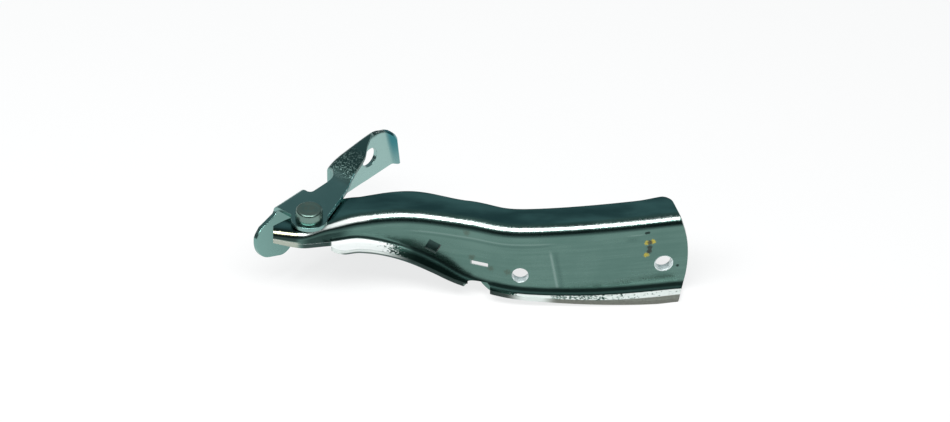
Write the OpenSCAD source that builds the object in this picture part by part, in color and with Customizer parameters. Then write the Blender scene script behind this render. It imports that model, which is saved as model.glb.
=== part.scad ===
// Bonnet hinge: a pressed steel arm that turns on a riveted body bracket.
// Millimetres, +Z up along the pivot, origin on the bracket's body bolt hole.

/* [Arm sheet] */
// Thickness of the arm pressing
arm_sheet = 2.6; // [2.2:0.1:3]
// Outer radius of the bend between flange and web
bend_radius = 6.2; // [5.2:0.1:7]
// Outer radius of the same bend at the narrow neck
neck_bend_radius = 4; // [3.6:0.1:4.4]
// Inner radius of the bend between web and lip
lip_radius = 2.6; // [2:0.1:3.2]

/* [Arm shape] */
// Pivot axis to the tip of the web
arm_reach = 205.8; // [198:0.2:214]
// Pivot axis to the cut end of the neck
neck_reach = 19.6; // [18:0.1:20]
// Pivot axis to the front face of the web
web_stand = 10.3; // [10.1:0.1:11]
// How far the web swings back between the pivot and the hump
hump = 17.5; // [14:0.5:20]
// How far it comes forward again behind the hump
sag = 13.5; // [11:0.5:15]
// How far it swings back towards the tip
tip_rise = 11.3; // [9:0.1:14]
// Width of the upper flange
flange_width = 20; // [18:0.5:21]
// Extra flange width at the hump
hump_width = 2.8; // [0:0.2:4]
// Flange top to the top of the lip at the tip
arm_depth = 46; // [44:0.5:48]
// Width of the lip at the tip
lip_width = 11; // [9:0.5:12]
// Pivot axis to the start of the lip
lip_start = 12; // [11:0.5:14]

/* [Bonnet bolt holes] */
// Diameter of both holes
bonnet_hole = 9; // [8.4:0.1:10]
// Arm tip to the far bonnet bolt hole
bonnet_hole_tip = 13.2; // [12:0.1:15]
// Distance between the holes, along the arm
bonnet_hole_pitch = 78.1; // [75:0.1:80]
// Flange top to the centre of the near hole
bonnet_hole_drop = 30.4; // [29:0.1:32]
// How much higher the far hole sits
bonnet_hole_lift = 1.5; // [0:0.1:2]
// Length of the drawn collar, sheet included
collar_length = 5.2; // [4.6:0.1:6]
// Wall of the drawn collar
collar_wall = 1.6; // [1.2:0.1:2]
// Chamfer at the mouth of the holes
mouth_chamfer = 0.7; // [0.3:0.1:0.9]

/* [Web cut-outs] */
// Length of the slot
slot_length = 10.3; // [9:0.1:11]
// Width of the slot
slot_width = 2.1; // [1.6:0.1:2.6]
// Share of the arm reach at the centre of the slot
slot_share = 0.448; // [0.442:0.001:0.454]
// Flange top to the centre of the slot
slot_drop = 26.1; // [25:0.1:27]
// Side of the lanced square
lance_side = 6.3; // [5.5:0.1:6.8]
// Share of the arm reach at the centre of the lanced square
lance_share = 0.3256; // [0.321:0.001:0.331]
// Flange top to the centre of the lanced square
lance_drop = 19.4; // [18.6:0.1:20]
// Turn of the lanced square in the web
lance_turn = 26; // [20:1:30]
// How far the lanced tongue is pushed in
lance_tilt = 24; // [18:1:30]
// Width of the notch in the lip
notch_width = 14.6; // [12:0.2:16]
// Share of the arm reach at the apex of the notch
notch_share = 0.43; // [0.425:0.001:0.436]

/* [Bracket] */
// Thickness of the bracket pressing
bracket_sheet = 2.5; // [2.2:0.1:2.8]
// Outer radius of the bracket bend
bracket_bend = 5; // [4.2:0.1:5.6]
// Turn of the bracket wall from the arm
bracket_turn = 48.2; // [44:0.2:52]
// Pivot axis to the outer face of the wall
wall_offset = 22.4; // [22:0.1:24]
// Radius of the plate around the rivet
plate_radius = 10; // [9.4:0.1:10.4]
// Radius of the stop tongue
tongue_radius = 16; // [15:0.5:16.5]
// Plate top to the lowest point of the tongue
tongue_depth = 32; // [31:0.5:33]
// Width of the relief notch in the back edge
relief_width = 18; // [15:0.5:19]
// Depth of the relief notch
relief_depth = 7.6; // [7:0.1:8.5]
// Step from the plate up to the ear strap
ear_step = 3.6; // [3:0.1:4.2]
// Slope of the ear strap against the plate
ear_slope = 7.5; // [6:0.1:9]
// Nearest point of the wall to the flared end of the ear
ear_reach = 89; // [87:0.5:90]
// Diameter of the body bolt hole
body_hole = 11.2; // [10.4:0.1:12]
// Nearest point of the wall to the body bolt hole
body_hole_along = 71.7; // [70:0.1:73]
// Plate top to the centre of the body bolt hole
body_hole_drop = 8; // [7.4:0.1:8.6]
// Turn of the flared end
flare_turn = 46; // [30:1:55]
// Length of the flared end
flare_length = 3; // [2:0.5:5]

/* [Pivot] */
// Diameter of the rivet shank
shank_diameter = 7; // [6.6:0.1:7.2]
// Diameter of the rivet head at its flat top
head_diameter = 14.2; // [13.4:0.1:15]
// Widest diameter of the rivet head
head_girth = 15.8; // [15.2:0.1:16.4]
// Height of the rivet head
head_height = 5.8; // [5:0.1:7]
// Diameter of the formed tail
tail_diameter = 10; // [9.4:0.1:10.4]
// Height of the formed tail
tail_height = 2.6; // [2.2:0.1:3.4]
// Thickness of the two washers
washer_thickness = 1; // [0.8:0.1:1.4]
// Outer diameter of the thrust washer
thrust_diameter = 17; // [16:0.5:18]
// Outer diameter of the tail washer
tail_washer_diameter = 10.6; // [10:0.1:10.8]
// Wall of the bush
bush_wall = 0.9; // [0.7:0.1:1]
// How far the bush stands out under the flange
bush_stand = 0.7; // [0.6:0.1:1]

/* [Clearances] */
// Radial clearance of the shank in the bush
running_gap = 0.04; // [0.02:0.01:0.08]
// End play between faces that turn on each other
end_play = 0.06; // [0.04:0.01:0.12]

/* [Hidden] */
$fn = 64;
overshoot = 1;
bend_steps = 6;
web_steps = 4;

// Places along the arm, from the pivot axis
bonnet_hole_far = arm_reach - bonnet_hole_tip;
bonnet_hole_near = bonnet_hole_far - bonnet_hole_pitch;
slot_along = slot_share * arm_reach;
lance_along = lance_share * arm_reach;
notch_along = notch_share * arm_reach;

// Heights of the pivot stack, from the top of the arm's flange
plate_bottom = end_play + washer_thickness;
plate_top = plate_bottom + bracket_sheet;
head_top = plate_top + head_height;
bush_bottom = -arm_sheet - bush_stand;
tail_washer_top = bush_bottom - end_play;
tail_top = tail_washer_top - washer_thickness;
tail_bottom = tail_top - tail_height;

// Radii of the pivot stack
shank_radius = shank_diameter / 2;
bush_bore = shank_radius + running_gap;
bush_radius = bush_bore + bush_wall;

// Bracket values: along the wall from the foot of the pivot, and outwards from the pivot
wall_inner = wall_offset - bracket_sheet;
fold_out = wall_offset - bracket_bend;
fold_height = plate_top - bracket_bend;
tongue_centre = [-4.2, plate_top - tongue_depth + tongue_radius];
tongue_right = 20;
plate_left = -4;
ear_left = tongue_right + relief_width;
ear_bottom = -18.5;
strap_base = plate_top + ear_step;
ear_radius = 13;
ear_fold = 36;
fold_slit = 0.6;
crown_drop = 0.3;
ear_crown = [
    78,
    strap_base + (78 - ear_left) * tan(ear_slope) - (ear_radius + crown_drop) / cos(ear_slope)
];
ear_tip = 97;
flare_radius = 2.5;
body_hole_height = plate_top - body_hole_drop;
flare_lean = 13;

// Origin: body bolt hole, at the outer face of the wall
origin = [
    body_hole_along * cos(bracket_turn) - wall_offset * sin(bracket_turn),
    body_hole_along * sin(bracket_turn) + wall_offset * cos(bracket_turn),
    body_hole_height
];

// Front face of the web seen from above: [along, across], neck to tip
hump_across = hump - web_stand;
sag_across = hump_across - sag;
web_path = [
    [-neck_reach, 2 - web_stand],
    [-0.015 * arm_reach, -web_stand],
    [0.056 * arm_reach, 0.43 * hump - web_stand],
    [0.132 * arm_reach, 0.82 * hump - web_stand],
    [0.260 * arm_reach, hump_across],
    [0.412 * arm_reach, hump_across - 0.47 * sag],
    [0.513 * arm_reach, hump_across - 0.95 * sag],
    [0.600 * arm_reach, sag_across],
    [0.765 * arm_reach, sag_across + 0.30 * tip_rise],
    [arm_reach, sag_across + tip_rise]
];

// Width of the flange behind the front face of the web: [along, width]
flange_path = [
    [-neck_reach, 6],
    [-7, 0.86 * flange_width],
    [8, flange_width],
    [0.132 * arm_reach, flange_width],
    [0.270 * arm_reach, flange_width + hump_width],
    [0.400 * arm_reach, flange_width],
    [arm_reach, flange_width + 0.6]
];

// Depth of the top of the lip under the top of the flange: [along, depth]
lip_path = [
    [-neck_reach, 4.7],
    [0, 7.3],
    [lip_start, 10.8],
    [0.136 * arm_reach, 0.300 * arm_depth],
    [0.235 * arm_reach, 0.456 * arm_depth],
    [0.333 * arm_reach, 0.640 * arm_depth],
    [0.412 * arm_reach, 0.812 * arm_depth],
    [0.510 * arm_reach, 0.876 * arm_depth],
    [0.745 * arm_reach, 0.968 * arm_depth],
    [arm_reach, arm_depth]
];

// Width of the lip in front of the web: [along, width]
lip_width_path = [
    [lip_start, 0.62 * lip_width],
    [lip_start + 9, 0.86 * lip_width],
    [0.186 * arm_reach, 0.79 * lip_width],
    [0.343 * arm_reach, 0.73 * lip_width],
    [0.412 * arm_reach, 0.45 * lip_width],
    [0.470 * arm_reach, 0.36 * lip_width],
    [0.610 * arm_reach, 0.45 * lip_width],
    [0.716 * arm_reach, 0.60 * lip_width],
    [0.931 * arm_reach, lip_width],
    [arm_reach, lip_width]
];

// Smooth curve through points, read at x
function point_slope(p, i) =
    let (a = max(i - 1, 0), b = min(i + 1, len(p) - 1))
    (p[b][1] - p[a][1]) / (p[b][0] - p[a][0]);
function span_at(p, x, i = 0) =
    (i >= len(p) - 2 || x < p[i + 1][0]) ? i : span_at(p, x, i + 1);
function curve(p, x) =
    let (
        i = span_at(p, x),
        h = p[i + 1][0] - p[i][0],
        t = (x - p[i][0]) / h,
        u = 1 - t
    )
    p[i][1] * (1 + 2 * t) * u * u + point_slope(p, i) * h * t * u * u
    + p[i + 1][1] * t * t * (3 - 2 * t) - point_slope(p, i + 1) * h * t * t * u;
function ease(x, from, to) =
    let (t = min(max((x - from) / (to - from), 0), 1))
    t * t * (3 - 2 * t);

// Web front face, its slope, and the stretch of a square section that the slope gives
function web_across(x) = curve(web_path, x);
function web_slope(x) = web_across(x + 0.5) - web_across(x - 0.5);
function web_turn(x) = atan(web_slope(x));
function stretch(x) = sqrt(1 + pow(web_slope(x), 2));

// Sizes of the section at x
function top_radius(x) =
    neck_bend_radius + (bend_radius - neck_bend_radius) * ease(x, 3, 22);
function has_lip(x) = x > lip_start;
function lip_inner(x) = has_lip(x) ? lip_radius + 1.2 * (1 - ease(x, 30, 80)) : 0.05;
function lip_out(x) = has_lip(x) ? curve(lip_width_path, x) : 0.1;
function corner_drop(x) =
    let (reach = 6, d = max(x - arm_reach + reach, 0))
    reach - sqrt(max(reach * reach - d * d, 0.04));
function flange_out(x) = curve(flange_path, x) - corner_drop(x);

// Closed section at x as [behind the web's front face, height], front side first
function section(x) =
    let (
        top = top_radius(x),
        low = lip_inner(x),
        fold = low - curve(lip_path, x)
    )
    concat(
        [[flange_out(x), 0]],
        [for (i = [0:bend_steps])
            let (a = 90 * i / bend_steps)
            [top * (1 - sin(a)), top * (cos(a) - 1)]],
        [for (i = [1:web_steps - 1]) [0, (fold + top) * i / web_steps - top]],
        [for (i = [0:bend_steps])
            let (a = 90 * i / bend_steps)
            [low * (cos(a) - 1), fold - low * sin(a)]],
        [[-lip_out(x), fold - low]],
        [[-lip_out(x), fold - low - arm_sheet]],
        [for (i = [bend_steps:-1:0])
            let (a = 90 * i / bend_steps)
            [(low + arm_sheet) * cos(a) - low, fold - (low + arm_sheet) * sin(a)]],
        [for (i = [web_steps - 1:-1:1]) [arm_sheet, (fold + top) * i / web_steps - top]],
        [for (i = [bend_steps:-1:0])
            let (a = 90 * i / bend_steps)
            [top - (top - arm_sheet) * sin(a), (top - arm_sheet) * cos(a) - top]],
        [[flange_out(x), -arm_sheet]]
    );

// Rounded outline of the tip: how far a point of the section stands back from the reach
function tip_recess(p) =
    4 * pow((p[1] + arm_depth / 2) / (arm_depth / 2), 2)
    + 0.3 * max(p[0] - 3, 0) + 0.25 * max(-p[0], 0);
function arm_point(x, p) = [
    x - tip_recess(p) * ease(x, arm_reach - 30, arm_reach),
    web_across(x) + p[0] * stretch(x),
    p[1]
];

// Stations along the arm, close together where the shape changes
arm_stations = concat(
    [for (i = [0:9]) -neck_reach + i * (neck_reach + lip_start - 0.1) / 9],
    [for (i = [0:42]) lip_start + 0.1 + i * (arm_reach - 8 - lip_start) / 42],
    [for (d = [6, 4, 2.5, 1.2, 0.4, 0]) arm_reach - d]
);

module arm_pressing() {
    rows = len(arm_stations);
    ring = len(section(0));
    points = [for (x = arm_stations) for (p = section(x)) arm_point(x, p)];
    skin = [for (i = [0:rows - 2]) for (j = [0:ring - 1])
        let (a = i * ring + j, b = i * ring + (j + 1) % ring)
        each [[a, b + ring, b], [a, a + ring, b + ring]]];
    near_end = [for (j = [0:ring / 2 - 2])
        let (a = j, b = j + 1, c = ring - 2 - j, d = ring - 1 - j)
        each [[a, b, c], [a, c, d]]];
    last = (rows - 1) * ring;
    far_end = [for (f = near_end) [last + f[0], last + f[2], last + f[1]]];
    polyhedron(points, concat(skin, near_end, far_end), convexity = 8);
}

// Children stand on the web's front face at x, with z towards the front
module on_web(x, drop) {
    translate([x, web_across(x), -drop])
        rotate([90, 0, web_turn(x)])
            children();
}

module collar(x, drop) {
    on_web(x, drop)
        translate([0, 0, -collar_length])
            cylinder(r = bonnet_hole / 2 + collar_wall, h = collar_length - arm_sheet / 2);
}

module bonnet_bore(x, drop) {
    on_web(x, drop) {
        translate([0, 0, -collar_length - overshoot])
            cylinder(d = bonnet_hole, h = collar_length + 2 * overshoot);
        translate([0, 0, -mouth_chamfer])
            cylinder(
                d1 = bonnet_hole,
                d2 = bonnet_hole + 4 * mouth_chamfer,
                h = 2 * mouth_chamfer
            );
    }
}

module web_slot() {
    on_web(slot_along, slot_drop)
        cube([slot_length, slot_width, 4 * arm_sheet], center = true);
}

module lance_window() {
    on_web(lance_along, lance_drop)
        rotate([0, 0, -lance_turn])
            cube([lance_side, lance_side, 4 * arm_sheet], center = true);
}

module lance_tongue() {
    on_web(lance_along, lance_drop)
        rotate([0, 0, -lance_turn])
            translate([-0.5 * lance_side - 0.3, 0, -arm_sheet])
                rotate([0, lance_tilt, 0])
                    translate([0, -0.5 * lance_side + 0.4, 0])
                        cube([lance_side - 0.4, lance_side - 0.8, 0.6 * arm_sheet]);
}

module lip_notch() {
    front = web_across(notch_along);
    translate([notch_along, front - 0.6, -arm_depth - 2 * arm_sheet])
        linear_extrude(height = arm_depth)
            polygon([
                [-1.2, 0],
                [1.2, 0],
                [0.66 * notch_width, -0.36 * lip_width],
                [0.66 * notch_width, -lip_width],
                [-0.34 * notch_width, -lip_width],
                [-0.34 * notch_width, -0.36 * lip_width]
            ]);
}

module hinge_arm() {
    color("silver")
        translate(-origin)
            difference() {
                union() {
                    difference() {
                        arm_pressing();
                        lance_window();
                    }
                    lance_tongue();
                    collar(bonnet_hole_near, bonnet_hole_drop);
                    collar(bonnet_hole_far, bonnet_hole_drop - bonnet_hole_lift);
                }
                bonnet_bore(bonnet_hole_near, bonnet_hole_drop);
                bonnet_bore(bonnet_hole_far, bonnet_hole_drop - bonnet_hole_lift);
                web_slot();
                lip_notch();
                translate([0, 0, -arm_sheet - overshoot])
                    cylinder(r = bush_radius, h = arm_sheet + 2 * overshoot);
            }
}

// Plate of the bracket from above: x along the wall, y out from the pivot
module plate_outline() {
    difference() {
        union() {
            circle(r = plate_radius);
            polygon([
                [plate_left, fold_out],
                [plate_left, 0.85 * plate_radius],
                [0.75 * plate_radius, -0.66 * plate_radius],
                [ear_left - 5, 3],
                [ear_left - 5, fold_out]
            ]);
            translate([plate_left, fold_out - overshoot])
                square([tongue_right - plate_left, overshoot]);
        }
        hull() {
            translate([tongue_right + 2.5, wall_offset - relief_depth + 2.5])
                circle(r = 2.5);
            translate([ear_left - 5, wall_offset - relief_depth + 5])
                circle(r = 5);
            translate([tongue_right, wall_offset])
                square([relief_width, overshoot]);
        }
    }
}

// Quarter bend of the bracket, from x = 0 to its length, with its top at height 0
module bracket_fold(length) {
    rotate([90, 0, 90])
        linear_extrude(height = length)
            translate([fold_out, -bracket_bend])
                intersection() {
                    difference() {
                        circle(r = bracket_bend);
                        circle(r = bracket_bend - bracket_sheet);
                    }
                    square(2 * bracket_bend);
                }
}

// Upright outline laid in the wall: x along the wall, y up
module in_wall() {
    translate([0, wall_offset, 0])
        rotate([90, 0, 0])
            linear_extrude(height = bracket_sheet)
                children();
}

module tongue_outline() {
    difference() {
        union() {
            translate(tongue_centre)
                circle(r = tongue_radius);
            polygon([
                [plate_left, fold_height],
                [tongue_centre[0], tongue_centre[1]],
                [tongue_centre[0], tongue_centre[1] - tongue_radius],
                [6, tongue_centre[1] - tongue_radius],
                [tongue_right - 4, tongue_centre[1] - 5],
                [tongue_right, tongue_centre[1] + 3],
                [tongue_right, fold_height]
            ]);
        }
        translate([-30, fold_height])
            square([60, 30]);
        polygon([
            [plate_left, fold_height + overshoot],
            [plate_left, fold_height],
            [-16, -4.8],
            [-20, -9.5],
            [-30, -9.5],
            [-30, fold_height + overshoot]
        ]);
    }
}

// Frame of the ear: x up the slope from the end of the plate, z from its top face
module on_ear() {
    translate([ear_left, 0, strap_base])
        rotate([0, -ear_slope, 0])
            children();
}

// Upright outline cut right across the wall: x along the wall, y up
module across_wall() {
    translate([0, wall_offset + overshoot, 0])
        rotate([90, 0, 0])
            linear_extrude(height = wall_offset + 2 * overshoot)
                children();
}

// Silhouette of the ear: x along the wall, y up
module ear_silhouette() {
    translate(ear_crown)
        circle(r = ear_radius);
    polygon([
        [ear_left, strap_base - 2],
        ear_crown + 0.9 * ear_radius * [-sin(ear_slope), cos(ear_slope)],
        ear_crown + [0.9 * ear_radius, 0],
        [ear_tip, ear_bottom],
        [ear_left + 9, ear_bottom],
        [ear_left, ear_bottom + 9]
    ]);
}

// Frame of the flare: z up its leaning fold line, x away from the wall's flat part
module on_flare() {
    translate([ear_reach, wall_inner - flare_radius, ear_bottom])
        rotate([0, -flare_lean, 0])
            children();
}

// Section of the ear's sheet across its flare: flat wall, bend and turned edge
module flare_section() {
    outside = flare_radius + bracket_sheet;
    edge = flare_length * [cos(flare_turn), -sin(flare_turn)];
    bend = [for (i = [0 : 8]) flare_turn * i / 8];
    polygon(concat(
        [[-70, flare_radius], [-70, outside]],
        [for (angle = bend) outside * [sin(angle), cos(angle)]],
        [outside * [sin(flare_turn), cos(flare_turn)] + edge],
        [flare_radius * [sin(flare_turn), cos(flare_turn)] + edge],
        [for (i = [8 : -1 : 0]) flare_radius * [sin(bend[i]), cos(bend[i])]]
    ));
}

module ear_wall() {
    difference() {
        intersection() {
            on_flare()
                translate([0, 0, -12])
                    linear_extrude(height = 70)
                        flare_section();
            across_wall()
                ear_silhouette();
        }
        across_wall()
            translate([ear_left, strap_base])
                rotate(ear_slope)
                    translate([-20, -bracket_bend])
                        square([20 + ear_fold + fold_slit, 30]);
        across_wall()
            translate([body_hole_along, body_hole_height])
                circle(d = body_hole);
    }
}

// Top of the ear seen from above its slope, narrowing to the sheet's own edge
module strap_outline() {
    polygon([
        [0, wall_offset + overshoot],
        [0, 5],
        [6, 7],
        [17, 10.6],
        [29, fold_out - 0.6],
        [ear_fold, wall_inner - 0.6],
        [ear_fold, wall_offset + overshoot]
    ]);
}

module ear_strap() {
    on_ear()
        translate([0, 0, -bracket_sheet])
            linear_extrude(height = bracket_sheet)
                intersection() {
                    strap_outline();
                    square([60, fold_out]);
                }
    intersection() {
        on_ear()
            bracket_fold(ear_fold);
        on_ear()
            translate([0, 0, -2 * bracket_bend])
                linear_extrude(height = 3 * bracket_bend)
                    strap_outline();
    }
}

// Sloping sheet between the plate and the ear strap
module strap_step() {
    run_in = 6.4;
    run_on = 1.2;
    strap_end = strap_base + run_on * tan(ear_slope);
    intersection() {
        across_wall()
            polygon([
                [ear_left - run_in, plate_top - 0.5],
                [ear_left + run_on, strap_end - 0.5],
                [ear_left + run_on, strap_end - bracket_sheet + 0.3],
                [ear_left - run_in, plate_bottom + 0.3]
            ]);
        linear_extrude(height = strap_end + overshoot)
            polygon([
                [ear_left - run_in - overshoot, 2.4],
                [ear_left - 5, 3],
                [ear_left + 2, 5.6],
                [ear_left + 2, fold_out - 0.8],
                [ear_left, fold_out - 0.8],
                [ear_left - 4, wall_offset - relief_depth],
                [ear_left - run_in - overshoot, wall_offset - relief_depth]
            ]);
    }
}

module ear() {
    ear_wall();
    ear_strap();
    strap_step();
}

module body_bracket() {
    color("lightsteelblue")
        translate(-origin)
            rotate([0, 0, bracket_turn]) {
                difference() {
                    translate([0, 0, plate_bottom])
                        linear_extrude(height = bracket_sheet)
                            plate_outline();
                    translate([0, 0, plate_bottom - overshoot])
                        cylinder(r = shank_radius, h = bracket_sheet + 2 * overshoot);
                }
                translate([plate_left, 0, plate_top])
                    bracket_fold(tongue_right - plate_left);
                in_wall()
                    tongue_outline();
                ear();
            }
}

module pivot_rivet() {
    girth = head_girth / 2;
    color("gray")
        translate(-origin)
            rotate_extrude()
                polygon([
                    [0, tail_bottom],
                    [tail_diameter / 2 - 1.4, tail_bottom],
                    [tail_diameter / 2, tail_bottom + 1.4],
                    [tail_diameter / 2, tail_top],
                    [shank_radius, tail_top],
                    [shank_radius, plate_top],
                    [girth - 0.6, plate_top],
                    [girth, plate_top + 1.2],
                    [girth, plate_top + 3.4],
                    [head_diameter / 2 + 0.35, head_top - 0.7],
                    [head_diameter / 2, head_top],
                    [0, head_top]
                ]);
}

module ring(radius, bore, bottom, thickness) {
    translate([0, 0, bottom])
        difference() {
            cylinder(r = radius, h = thickness);
            translate([0, 0, -overshoot])
                cylinder(r = bore, h = thickness + 2 * overshoot);
        }
}

module thrust_washer() {
    color("dimgray")
        translate(-origin)
            ring(thrust_diameter / 2, shank_radius, end_play, washer_thickness);
}

module pivot_bush() {
    color("peru")
        translate(-origin)
            ring(bush_radius, bush_bore, bush_bottom, -bush_bottom);
}

module tail_washer() {
    color("darkgray")
        translate(-origin)
            ring(tail_washer_diameter / 2, shank_radius, tail_top, washer_thickness);
}

hinge_arm();
body_bracket();
pivot_rivet();
thrust_washer();
pivot_bush();
tail_washer();
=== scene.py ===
"""Bonnet hinge: looks of the two zinc-plated pressings and their riveted pivot."""
import logging
import math
from dataclasses import dataclass, field
from enum import Enum
from typing import Any, Callable, Optional, Sequence, Union

import bpy
from mathutils import Matrix, Vector


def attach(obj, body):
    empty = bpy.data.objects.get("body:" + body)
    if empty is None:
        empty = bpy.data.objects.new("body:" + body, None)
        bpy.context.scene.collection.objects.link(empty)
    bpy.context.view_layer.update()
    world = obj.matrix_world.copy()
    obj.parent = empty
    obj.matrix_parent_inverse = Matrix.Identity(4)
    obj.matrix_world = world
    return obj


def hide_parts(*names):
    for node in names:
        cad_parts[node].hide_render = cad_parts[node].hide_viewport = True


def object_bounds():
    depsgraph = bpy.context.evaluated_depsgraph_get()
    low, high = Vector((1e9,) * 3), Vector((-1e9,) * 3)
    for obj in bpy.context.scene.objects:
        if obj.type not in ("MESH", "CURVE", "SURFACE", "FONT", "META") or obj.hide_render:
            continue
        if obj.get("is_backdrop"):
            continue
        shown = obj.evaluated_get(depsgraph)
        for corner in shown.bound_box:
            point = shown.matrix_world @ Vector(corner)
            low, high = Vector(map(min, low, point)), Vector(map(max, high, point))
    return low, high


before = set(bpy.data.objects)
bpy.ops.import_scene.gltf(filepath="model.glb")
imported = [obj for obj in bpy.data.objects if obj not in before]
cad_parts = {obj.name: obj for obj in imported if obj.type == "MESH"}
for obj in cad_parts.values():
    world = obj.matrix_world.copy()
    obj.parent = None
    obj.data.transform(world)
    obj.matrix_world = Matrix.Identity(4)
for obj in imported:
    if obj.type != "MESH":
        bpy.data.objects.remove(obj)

LOG = logging.getLogger("bonnet_hinge")
MM = 0.001
Pair = tuple[float, float]
Triple = tuple[float, float, float]
BEVEL_SEGMENTS = 3
CORNER_SHARE = 0.3
NO_AREA = 0.0002 * MM
FULL_TURN = 2.0 * math.pi

# Sockets of a Mix node that mixes colours
MIX_SHARE, MIX_FIRST, MIX_SECOND, MIX_RESULT = 0, 6, 7, 2

# Points on either side of the arm's section, and all of them
RIM_POINTS = 3
FLANGE_STEPS = 8
BEND_STEPS = 16
WEB_STEPS = 36
LIP_BEND_STEPS = 10
LIP_STEPS = 6
SIDE_STEPS = FLANGE_STEPS + BEND_STEPS + WEB_STEPS + LIP_BEND_STEPS + LIP_STEPS
SECTION_ROWS = 2 * (2 * RIM_POINTS + SIDE_STEPS + 1)


class Body(Enum):
    """Moving bodies of the hinge."""

    BRACKET = "bracket"
    ARM = "arm"


class Cut(Enum):
    """Ways in which one mesh works on another."""

    TAKE_AWAY = "DIFFERENCE"
    JOIN = "UNION"


class Axis(Enum):
    """Directions of the part's frame."""

    ALONG = 0
    ACROSS = 1
    UP = 2


class Mark(Enum):
    """Places on the arm's own map, by which its finish tells cut and lanced forms."""

    WEB = (0.0, 0.27)
    LANCE = (2.0, 0.27)
    BORE = (3.0, 0.27)
    WINDOW = (4.0, 0.27)


class Zone(Enum):
    """Bands round the arm's section: first row, last row, and rows that a band fades over."""

    FLANGE = (2.0, 12.0, 2.0)
    BEND = (13.0, 22.0, 1.5)
    BEND_RUB = (15.6, 19.8, 2.4)
    BEND_GLINT = (16.5, 21.5, 1.0)
    BEND_FOOT = (20.8, 25.6, 1.4)
    HOLLOW = (26.0, 66.0, 3.0)
    WEB = (28.0, 62.0, 0.6)
    NECK = (11.0, 44.0, 2.0)
    NECK_GLINT = (16.5, 20.5, 1.0)
    NECK_BACK = (50.0, 104.0, 6.0)
    LIP = (62.0, 82.0, 2.0)
    LIP_BEND = (62.0, 72.5, 1.2)
    LIP_FOOT = (78.0, 104.0, 0.6)
    LIP_SCUFF = (72.0, 80.0, 0.6)
    LIP_SCUFF_LEFT = (68.0, 80.0, 0.6)


class Stretch(Enum):
    """Stretches of the arm in metres from the pivot axis: first, last, and how far they fade."""

    GLINT = (-0.004, 0.032, 0.004)
    HOLLOW = (-0.004, 0.020, 0.005)
    FOOT = (-0.004, 0.0115, 0.002)
    LIP_MIDDLE = (0.052, 0.106, 0.006)
    LIP_BRIGHT = (0.113, 0.131, 0.003)
    EDGE_BRIGHT = (0.112, 0.130, 0.005)
    BURR = (0.018, 0.060, 0.002)


def ease(value: float, start: float, end: float) -> float:
    """Smooth step of a value, from 0 at start to 1 at end."""
    t = min(max((value - start) / (end - start), 0.0), 1.0)
    return t * t * (3.0 - 2.0 * t)


def bell(value: float, centre: float, width: float) -> float:
    """Soft bump of height 1 at centre, that fades over width."""
    return math.exp(-((value - centre) / width) ** 2)


def mix(a: float, b: float, t: float) -> float:
    """Value between a and b at share t."""
    return a + (b - a) * t


def spread(start: float, end: float, steps: int) -> list[float]:
    """Values at even steps from start to end."""
    return [mix(start, end, i / steps) for i in range(steps + 1)]


class Curve:
    """Smooth curve through a few points, read at x."""

    def __init__(self, points: Sequence[Pair]) -> None:
        """Keeps the points, pairs of x and height in order of x."""
        self.points = list(points)

    def _slope(self, i: int) -> float:
        """Slope of the curve at one of its points.

        Args:
            i: Number of the point.

        Returns:
            Height gained for each step of x.
        """
        a = self.points[max(i - 1, 0)]
        b = self.points[min(i + 1, len(self.points) - 1)]
        return (b[1] - a[1]) / (b[0] - a[0])

    def at(self, x: float) -> float:
        """Height of the curve at x.

        Args:
            x: Place along the curve.

        Returns:
            Height there.
        """
        p = self.points
        i = 0
        while i < len(p) - 2 and x >= p[i + 1][0]:
            i += 1
        h = p[i + 1][0] - p[i][0]
        t = (x - p[i][0]) / h
        u = 1.0 - t
        return (
            p[i][1] * (1 + 2 * t) * u * u
            + self._slope(i) * h * t * u * u
            + p[i + 1][1] * t * t * (3 - 2 * t)
            - self._slope(i + 1) * h * t * t * u
        )


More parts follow.
